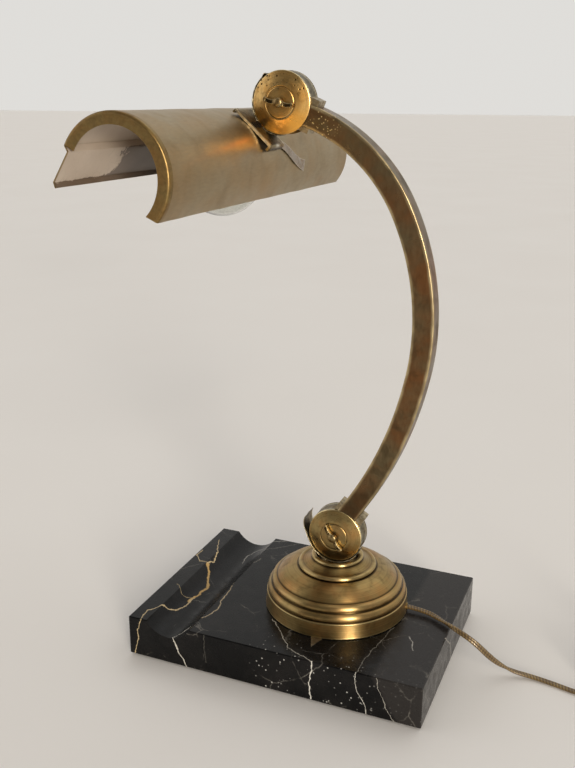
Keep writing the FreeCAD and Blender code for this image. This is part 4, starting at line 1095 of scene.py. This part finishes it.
bracketSettings = {
    "direction": 223.0,  # from the upper pivot towards the shade's axis
    "reach": 22.0,  # mm from the pivot to the plate's middle
    "ends": (-14.2, 18.2),  # mm along the plate, up and down the shade
    "drops": (2.2, 3.7),  # how far the curled ends reach down
    "front": (-23.0, -16.5),
    "back": 8.0,
    "sheet": 0.62,  # half the plate's thickness
    "roll": (1.1, 0.9),  # how far behind the front edge the roll's crest is, and how wide
    "metal": {
        "grain": 1.3 * mm, "lines": 0.16, "patch": 8 * mm, "stain": 0.75, "base": "#867650",
        "warm": "#866a42",
        "dark": "#352b1d", "bright": "#e6dcc0", "rough": (0.3, 0.5), "wear": 0.85, "bump": 0.35,
        # glow: colour of the painted highlight near the plate's lower end
        "glow": "#f4eedd",
    },
    "leafStart": (8.0, 9.5),  # along the shade, and up its flank from the middle angle, in mm
    "leafEnd": (52.0, -9.0),
    "leafAngle": 7.0,
    "leafHalf": 3.6,
    "leafWidths": ([0, 0.1, 0.3, 0.75, 0.92, 1.0], [0.55, 0.75, 0.8, 0.9, 1.0, 1.0]),  # shares of leafHalf
    "leafSway": 1.1, "leafSheet": 0.3 * mm,
    "leafMetal": {
        "grain": 1.5 * mm, "lines": 0.12, "patch": 7 * mm, "stain": 0.4, "base": "#a5998c",
        "warm": "#a08d78",
        "dark": "#5d5042", "bright": "#dcd3c4", "rough": (0.38, 0.55), "wear": 0.7, "bump": 0.35,
    },
}


def plateGrid(s):
    # plate section with a rolled front edge, carried along a flat run whose two ends curl down
    direction = math.radians(s["direction"])
    d = np.array([math.cos(direction), math.sin(direction)])
    t = np.array([-math.sin(direction), math.cos(direction)])
    run = np.linspace(-1, 1, 64)
    t0, t1 = s["ends"]
    turnDown = smooth(np.abs(run), 0.86, 1.0)
    tangential = (t0 + t1) / 2 + np.sign(run) * np.minimum(np.abs(run) * 1.12, 1.0) * (t1 - t0) / 2
    reach = s["reach"] + np.where(run < 0, *s["drops"]) * turnDown**1.3
    path = np.stack([tangential, reach], -1)
    heading = np.gradient(path, axis=0)
    heading /= np.linalg.norm(heading, axis=1, keepdims=True)
    normal = np.stack([heading[:, 1], -heading[:, 0]], -1)  # away from the shade
    section, near = roundedSection(s["sheet"] * mm, 1.0, 0.3 * mm, perFlat=18)
    v = section[:, 1]
    y0 = np.interp(tangential, s["ends"], s["front"])[:, None] + 0.25 * ripple(run * 6, 3)[:, None]
    y = (y0 + s["back"]) / 2 + v[None, :] * (s["back"] - y0) / 2
    crest, spread = s["roll"]
    roll = np.exp(-((y - y0 - crest) / spread) ** 2)
    offset = section[None, :, 0] / mm * (1 + 0.7 * roll) + 0.5 * roll
    side = path[:, None] + normal[:, None] * offset[..., None]
    place = upperPivot[[0, 2]] + (side[..., :1] * t + side[..., 1:] * d) * mm
    points = np.stack([place[..., 0], y * mm, place[..., 1]], -1)
    edge = np.clip(0.7 * near[None, :] + roll * 0.15 - 0.9 * turnDown[:, None], -1, 1)
    # a painted highlight: a bright whitish spot near the plate's lower end
    corner = np.exp(-((run[:, None] - 0.88) / 0.03) ** 2) * np.exp(-((v[None, :] - 0.1) / 0.22) ** 2)
    return tube(points, {"edge": edge, "glow": corner * 0.85})


def makeBracket(s):
    cradle = bandGrid(*knuckleSettings["upperCradle"])
    # brass strip, folded and handled: olive-brown plate, worn roll, dark curled ends, a painted highlight
    # near the lower end
    metal = agedBrass("brass_folded_bracket", s["metal"])
    plate = makePiece("shadeBracket", "shade", [plateGrid(s), cradle], [metal], sharp=50.0,
                      replaces=("shade_bracket",))


def makeLeaf(s):
    # ribbon of thin sheet lying aslant on the shade's flank: wavy, its far tip lifted and cut to two points
    low, high = boxOf("shade_shell")
    axis = np.array([high[0] - shadeSettings["radius"], high[2] - shadeSettings["radius"]])
    start, end = np.array(s["leafStart"]), np.array(s["leafEnd"])
    course = end - start
    across = np.array([-course[1], course[0]]) / np.linalg.norm(course)
    u = np.linspace(0, 1, 60)[:, None]
    section, near = roundedSection(s["leafSheet"], 1.0, s["leafSheet"] / 2, perFlat=10)
    v = section[None, :, 1]
    width = s["leafHalf"] * np.interp(u, *s["leafWidths"])
    sway = s["leafSway"] * np.sin(u * 6.0 + 0.6)
    tip = smooth(u, 0.8, 1.0)
    notch = 1 - 0.07 * tip * (1 - np.abs(v)) - 0.03 * tip * v
    y = start[0] + course[0] * u * notch + across[0] * (v * width + sway)
    climb = start[1] + course[1] * u * notch + across[1] * (v * width + sway)
    angle = math.radians(s["leafAngle"]) + np.arcsin(climb * mm / shadeSettings["radius"])
    lift = 0.45 + 0.5 * tip + 0.22 * (1 + ripple(u * 8 + v, 8)) * smooth(u, 0.05, 0.3)
    radius = shadeSettings["radius"] + lift * mm + section[None, :, 0]
    points = np.stack([axis[0] + radius * np.cos(angle), y * mm, axis[1] + radius * np.sin(angle)], -1)
    grid = tube(points, {"edge": near[None, :] + 0 * radius})
    leafMetal = agedBrass("tinned_sheet_handcut", s["leafMetal"])  # greyish, dull, bright cut edges
    leaf = makePiece("shadeLeaf", "shade", [grid], [leafMetal], sharp=50.0, replaces=("shade_leaf",))


makeBracket(bracketSettings)
makeLeaf(bracketSettings)
print("bracket folded")


# ---- bulb and lampholder

bulbSettings = {
    "radius": 29.5, "tipY": 21.0, "neckY": -43.0, "neck": 12.0, "wall": 0.8,  # mm
}


def bulbOutline(s, shrink):
    # crown as a quarter circle, a long curve to the waist, a short one to the neck: radius and y
    r, widest = s["radius"], s["tipY"] - s["radius"]
    half = math.radians(45)
    crown = arcThrough((0, s["tipY"] - shrink), ((r - shrink) * math.sin(half),
                                                 widest + (r - shrink) * math.cos(half)),
                       (r - shrink, widest), 24)
    side = arcThrough((r - shrink, widest), (27.6 - shrink, widest - 11.0), (21.6 - shrink, widest - 22.0),
                      12)
    neck = arcThrough((21.6 - shrink, widest - 22.0), (15.2 - shrink, s["neckY"] + 6.0),
                      (s["neck"] - shrink, s["neckY"]), 10)
    return np.concatenate([crown, side[1:], neck[1:]])


def glassMaterial():
    # soda-lime glass, blown thin: clear, sharp glints, a breath of dust
    material, tree, shader = startMaterial("clear_glass_blown")
    where = add(tree, "TexCoord").outputs["Object"]
    dust = add(tree, "TexNoise", {"Vector": where, "Scale": perMetre(12 * mm), "Detail": 4.0})
    rough = add(tree, "MapRange", {"Value": dust, "From Min": 0.4, "From Max": 0.8, "To Max": 0.12})
    tone = add(tree, "MixRGB", {"Fac": dust, "Color1": "#fbfbf8", "Color2": "#e9ebe4"})
    connect(tree, shader, {"Roughness": rough, "Base Color": tone, "Transmission Weight": 1.0, "IOR": 1.5})
    return material


def makeBulb(s, glass):
    low, high = boxOf("bulb_glass")
    axis = ((low[0] + high[0]) / 2, 0.0, (low[2] + high[2]) / 2)
    profile = np.concatenate([bulbOutline(s, 0.0), bulbOutline(s, s["wall"])[::-1]]) * mm
    bulb = makePiece("bulbGlass", "shade", [lathe(profile, axis, "y", 96)], [glass], sharp=60.0,
                     replaces=("bulb_glass",))


makeBulb(bulbSettings, glassMaterial())
print("bulb blown")


# ---- plug

plugSettings = {
    # centre in metres, turn in degrees, the rest in mm
    "centre": (0.2680, 0.0360), "turn": 105.0, "half": 18.0, "halfWidth": 12.9, "halfThick": 6.2,
    "neckWidth": 4.0, "neckThick": 4.2,
    "ribRate": 46, "ribDepth": 0.05, "ribSpan": [(-0.75, -0.62), (0.02, 0.12)],  # shares of its half length
    "colours": ("#2d1f17", "#4c382b"),
}


def mouldedMaterial(name, base, worn):
    # thermoplastic, injection moulded: fine spark-eroded grain, faint scuffs, soft gloss
    material, tree, shader = startMaterial(name)
    where = add(tree, "TexCoord").outputs["Object"]
    grain = add(tree, "TexNoise", {"Vector": where, "Scale": perMetre(0.7 * mm), "Detail": 2.0})
    scuff = add(tree, "TexNoise", {"Vector": where, "Scale": perMetre(8 * mm), "Detail": 5.0})
    edge = add(tree, "Attribute", attribute_name="edge")
    mixed = add(tree, "MapRange", {"Value": scuff, "From Min": 0.45, "From Max": 0.75, "To Max": 0.6})
    mixed = add(tree, "Math", {0: edge.outputs["Fac"], 1: 0.35, 2: mixed}, operation="MULTIPLY_ADD",
                use_clamp=True)
    tone = add(tree, "MixRGB", {"Fac": mixed, "Color1": base, "Color2": worn})
    rough = add(tree, "MapRange", {"Value": scuff, "To Min": 0.28, "To Max": 0.55})
    bump = add(tree, "Bump", {"Height": grain, "Strength": 0.3, "Distance": 0.05 * mm})
    connect(tree, shader, {"Base Color": tone, "Roughness": rough, "Normal": bump})
    return material


def makePlug(s):
    # rounded section that swells from the cord's end to a flat body, with finger ribs near the back
    low, high = boxOf("plug_body")
    u = np.linspace(-1, 1, 90)[:, None]
    unit, near = roundedSection(1.0, 1.0, 0.55, perCorner=9, perFlat=6)
    swell = smooth(u, -1.0, -0.1)
    closing = np.sqrt(np.clip(1 - np.clip((np.abs(u) - 0.9) / 0.1, 0, 1) ** 2 * 0.75, 0, 1))
    ribsStart, ribsEnd = s["ribSpan"]
    ribbed = smooth(u, *ribsStart) * (1 - smooth(u, *ribsEnd))
    ribs = 1 - s["ribDepth"] * (1 + np.cos(u * s["ribRate"])) * ribbed
    halfWidth = (s["neckWidth"] + (s["halfWidth"] - s["neckWidth"]) * swell) * closing * ribs
    halfThick = (s["neckThick"] + (s["halfThick"] - s["neckThick"]) * smooth(u, -1.0, -0.35)) * closing
    a, b = unit[None, :, 0] * halfWidth, unit[None, :, 1] * halfThick
    turn = math.radians(s["turn"])
    along = u * s["half"]
    x = s["centre"][0] + (along * math.cos(turn) - a * math.sin(turn)) * mm
    y = s["centre"][1] + (along * math.sin(turn) + a * math.cos(turn)) * mm
    z = (low[2] + high[2]) / 2 + b * mm + 0 * x
    grid = tube(np.stack([x, y, z], -1), {"edge": near[None, :] * 0.6 + 0 * x})
    plastic = mouldedMaterial("brown_pvc_moulded", *s["colours"])
    plug = makePiece("plugBody", "base", [grid], [plastic], sharp=50.0, replaces=("plug_body",))
    return plug


plug = makePlug(plugSettings)
print("plug moulded")


# ---- the kept nodes

def plainMaterial(name, base, second, patch, rough, metallic=0.0, bumpSize=0.8 * mm, bump=0.2):
    # two tones in patches, roughness that follows them, and a fine grain
    material, tree, shader = startMaterial(name)
    where = add(tree, "TexCoord").outputs["Object"]
    patches = add(tree, "TexNoise", {"Vector": where, "Scale": perMetre(patch), "Detail": 5.0})
    grain = add(tree, "TexNoise", {"Vector": where, "Scale": perMetre(bumpSize), "Detail": 2.0})
    share = add(tree, "MapRange", {"Value": patches, "From Min": 0.35, "From Max": 0.65})
    tone = add(tree, "MixRGB", {"Fac": share, "Color1": base, "Color2": second})
    gloss = add(tree, "MapRange", {"Value": patches, "To Min": rough[0], "To Max": rough[1]})
    dents = add(tree, "Bump", {"Height": grain, "Strength": bump, "Distance": 0.1 * mm})
    connect(tree, shader, {"Base Color": tone, "Roughness": gloss, "Normal": dents, "Metallic": metallic})
    return material


keptLooks = [
    # material name (common name and how its surface was made), two tones, patch, roughness, metallic, nodes
    ("wool_felt_pressed", "#1f3a2a", "#16291e", 4 * mm, (0.85, 0.98), 0.0, ["base_felt"]),
    ("tinplate_handcut", "#b9ae98", "#8b7d66", 6 * mm, (0.3, 0.5), 1.0, ["foot_packing"]),
    ("steel_zinc_plated", "#a9abad", "#85878a", 5 * mm, (0.3, 0.48), 1.0,
     ["foot_stem", "foot_washer", "foot_nut", "holder_nipple"]),
    ("brass_machined_dull", "#9b8353", "#6e5a35", 6 * mm, (0.3, 0.5), 1.0,
     ["lower_yoke", "upper_yoke", "lower_fork", "upper_fork", "cord_bush", "lower_bolt", "upper_bolt",
      "lower_cap_back", "upper_cap_back", "holder_bracket"]),
    ("brass_filed_grey", "#b3a588", "#7f7155", 4 * mm, (0.3, 0.5), 1.0, ["lower_saddle", "upper_saddle"]),
    ("steel_screw_blackened", "#4a4640", "#2c2a27", 2 * mm, (0.35, 0.55), 1.0, ["bracket_screws"]),
    ("brass_lampholder_pressed", "#b49a62", "#8f7848", 7 * mm, (0.25, 0.4), 1.0,
     ["holder_shell", "holder_ring"]),
    ("porcelain_glazed", "#e9e4d8", "#d9d2c3", 6 * mm, (0.12, 0.25), 0.0, ["holder_insulator"]),
    ("aluminium_bulb_cap_rolled", "#c9cacb", "#aeb0b2", 5 * mm, (0.25, 0.4), 1.0, ["bulb_cap"]),
    ("brass_pins_nickel_plated", "#c8c4b8", "#aaa598", 4 * mm, (0.18, 0.3), 1.0, ["plug_pins"]),
    ("glass_stem_pressed", "#d7dbd6", "#bfc4bf", 5 * mm, (0.1, 0.3), 0.0, ["bulb_mount"]),
    ("pvc_lead_extruded", "#8c6f49", "#6e5536", 5 * mm, (0.3, 0.45), 0.0,
     ["flex_in_foot", "flex_in_arm", "flex_in_shade"]),
]
for name, base, second, patch, rough, metallic, nodes in keptLooks:
    material = plainMaterial(name, base, second, patch, rough, metallic)
    for node in nodes:
        dress(node, material)
print("kept nodes dressed")
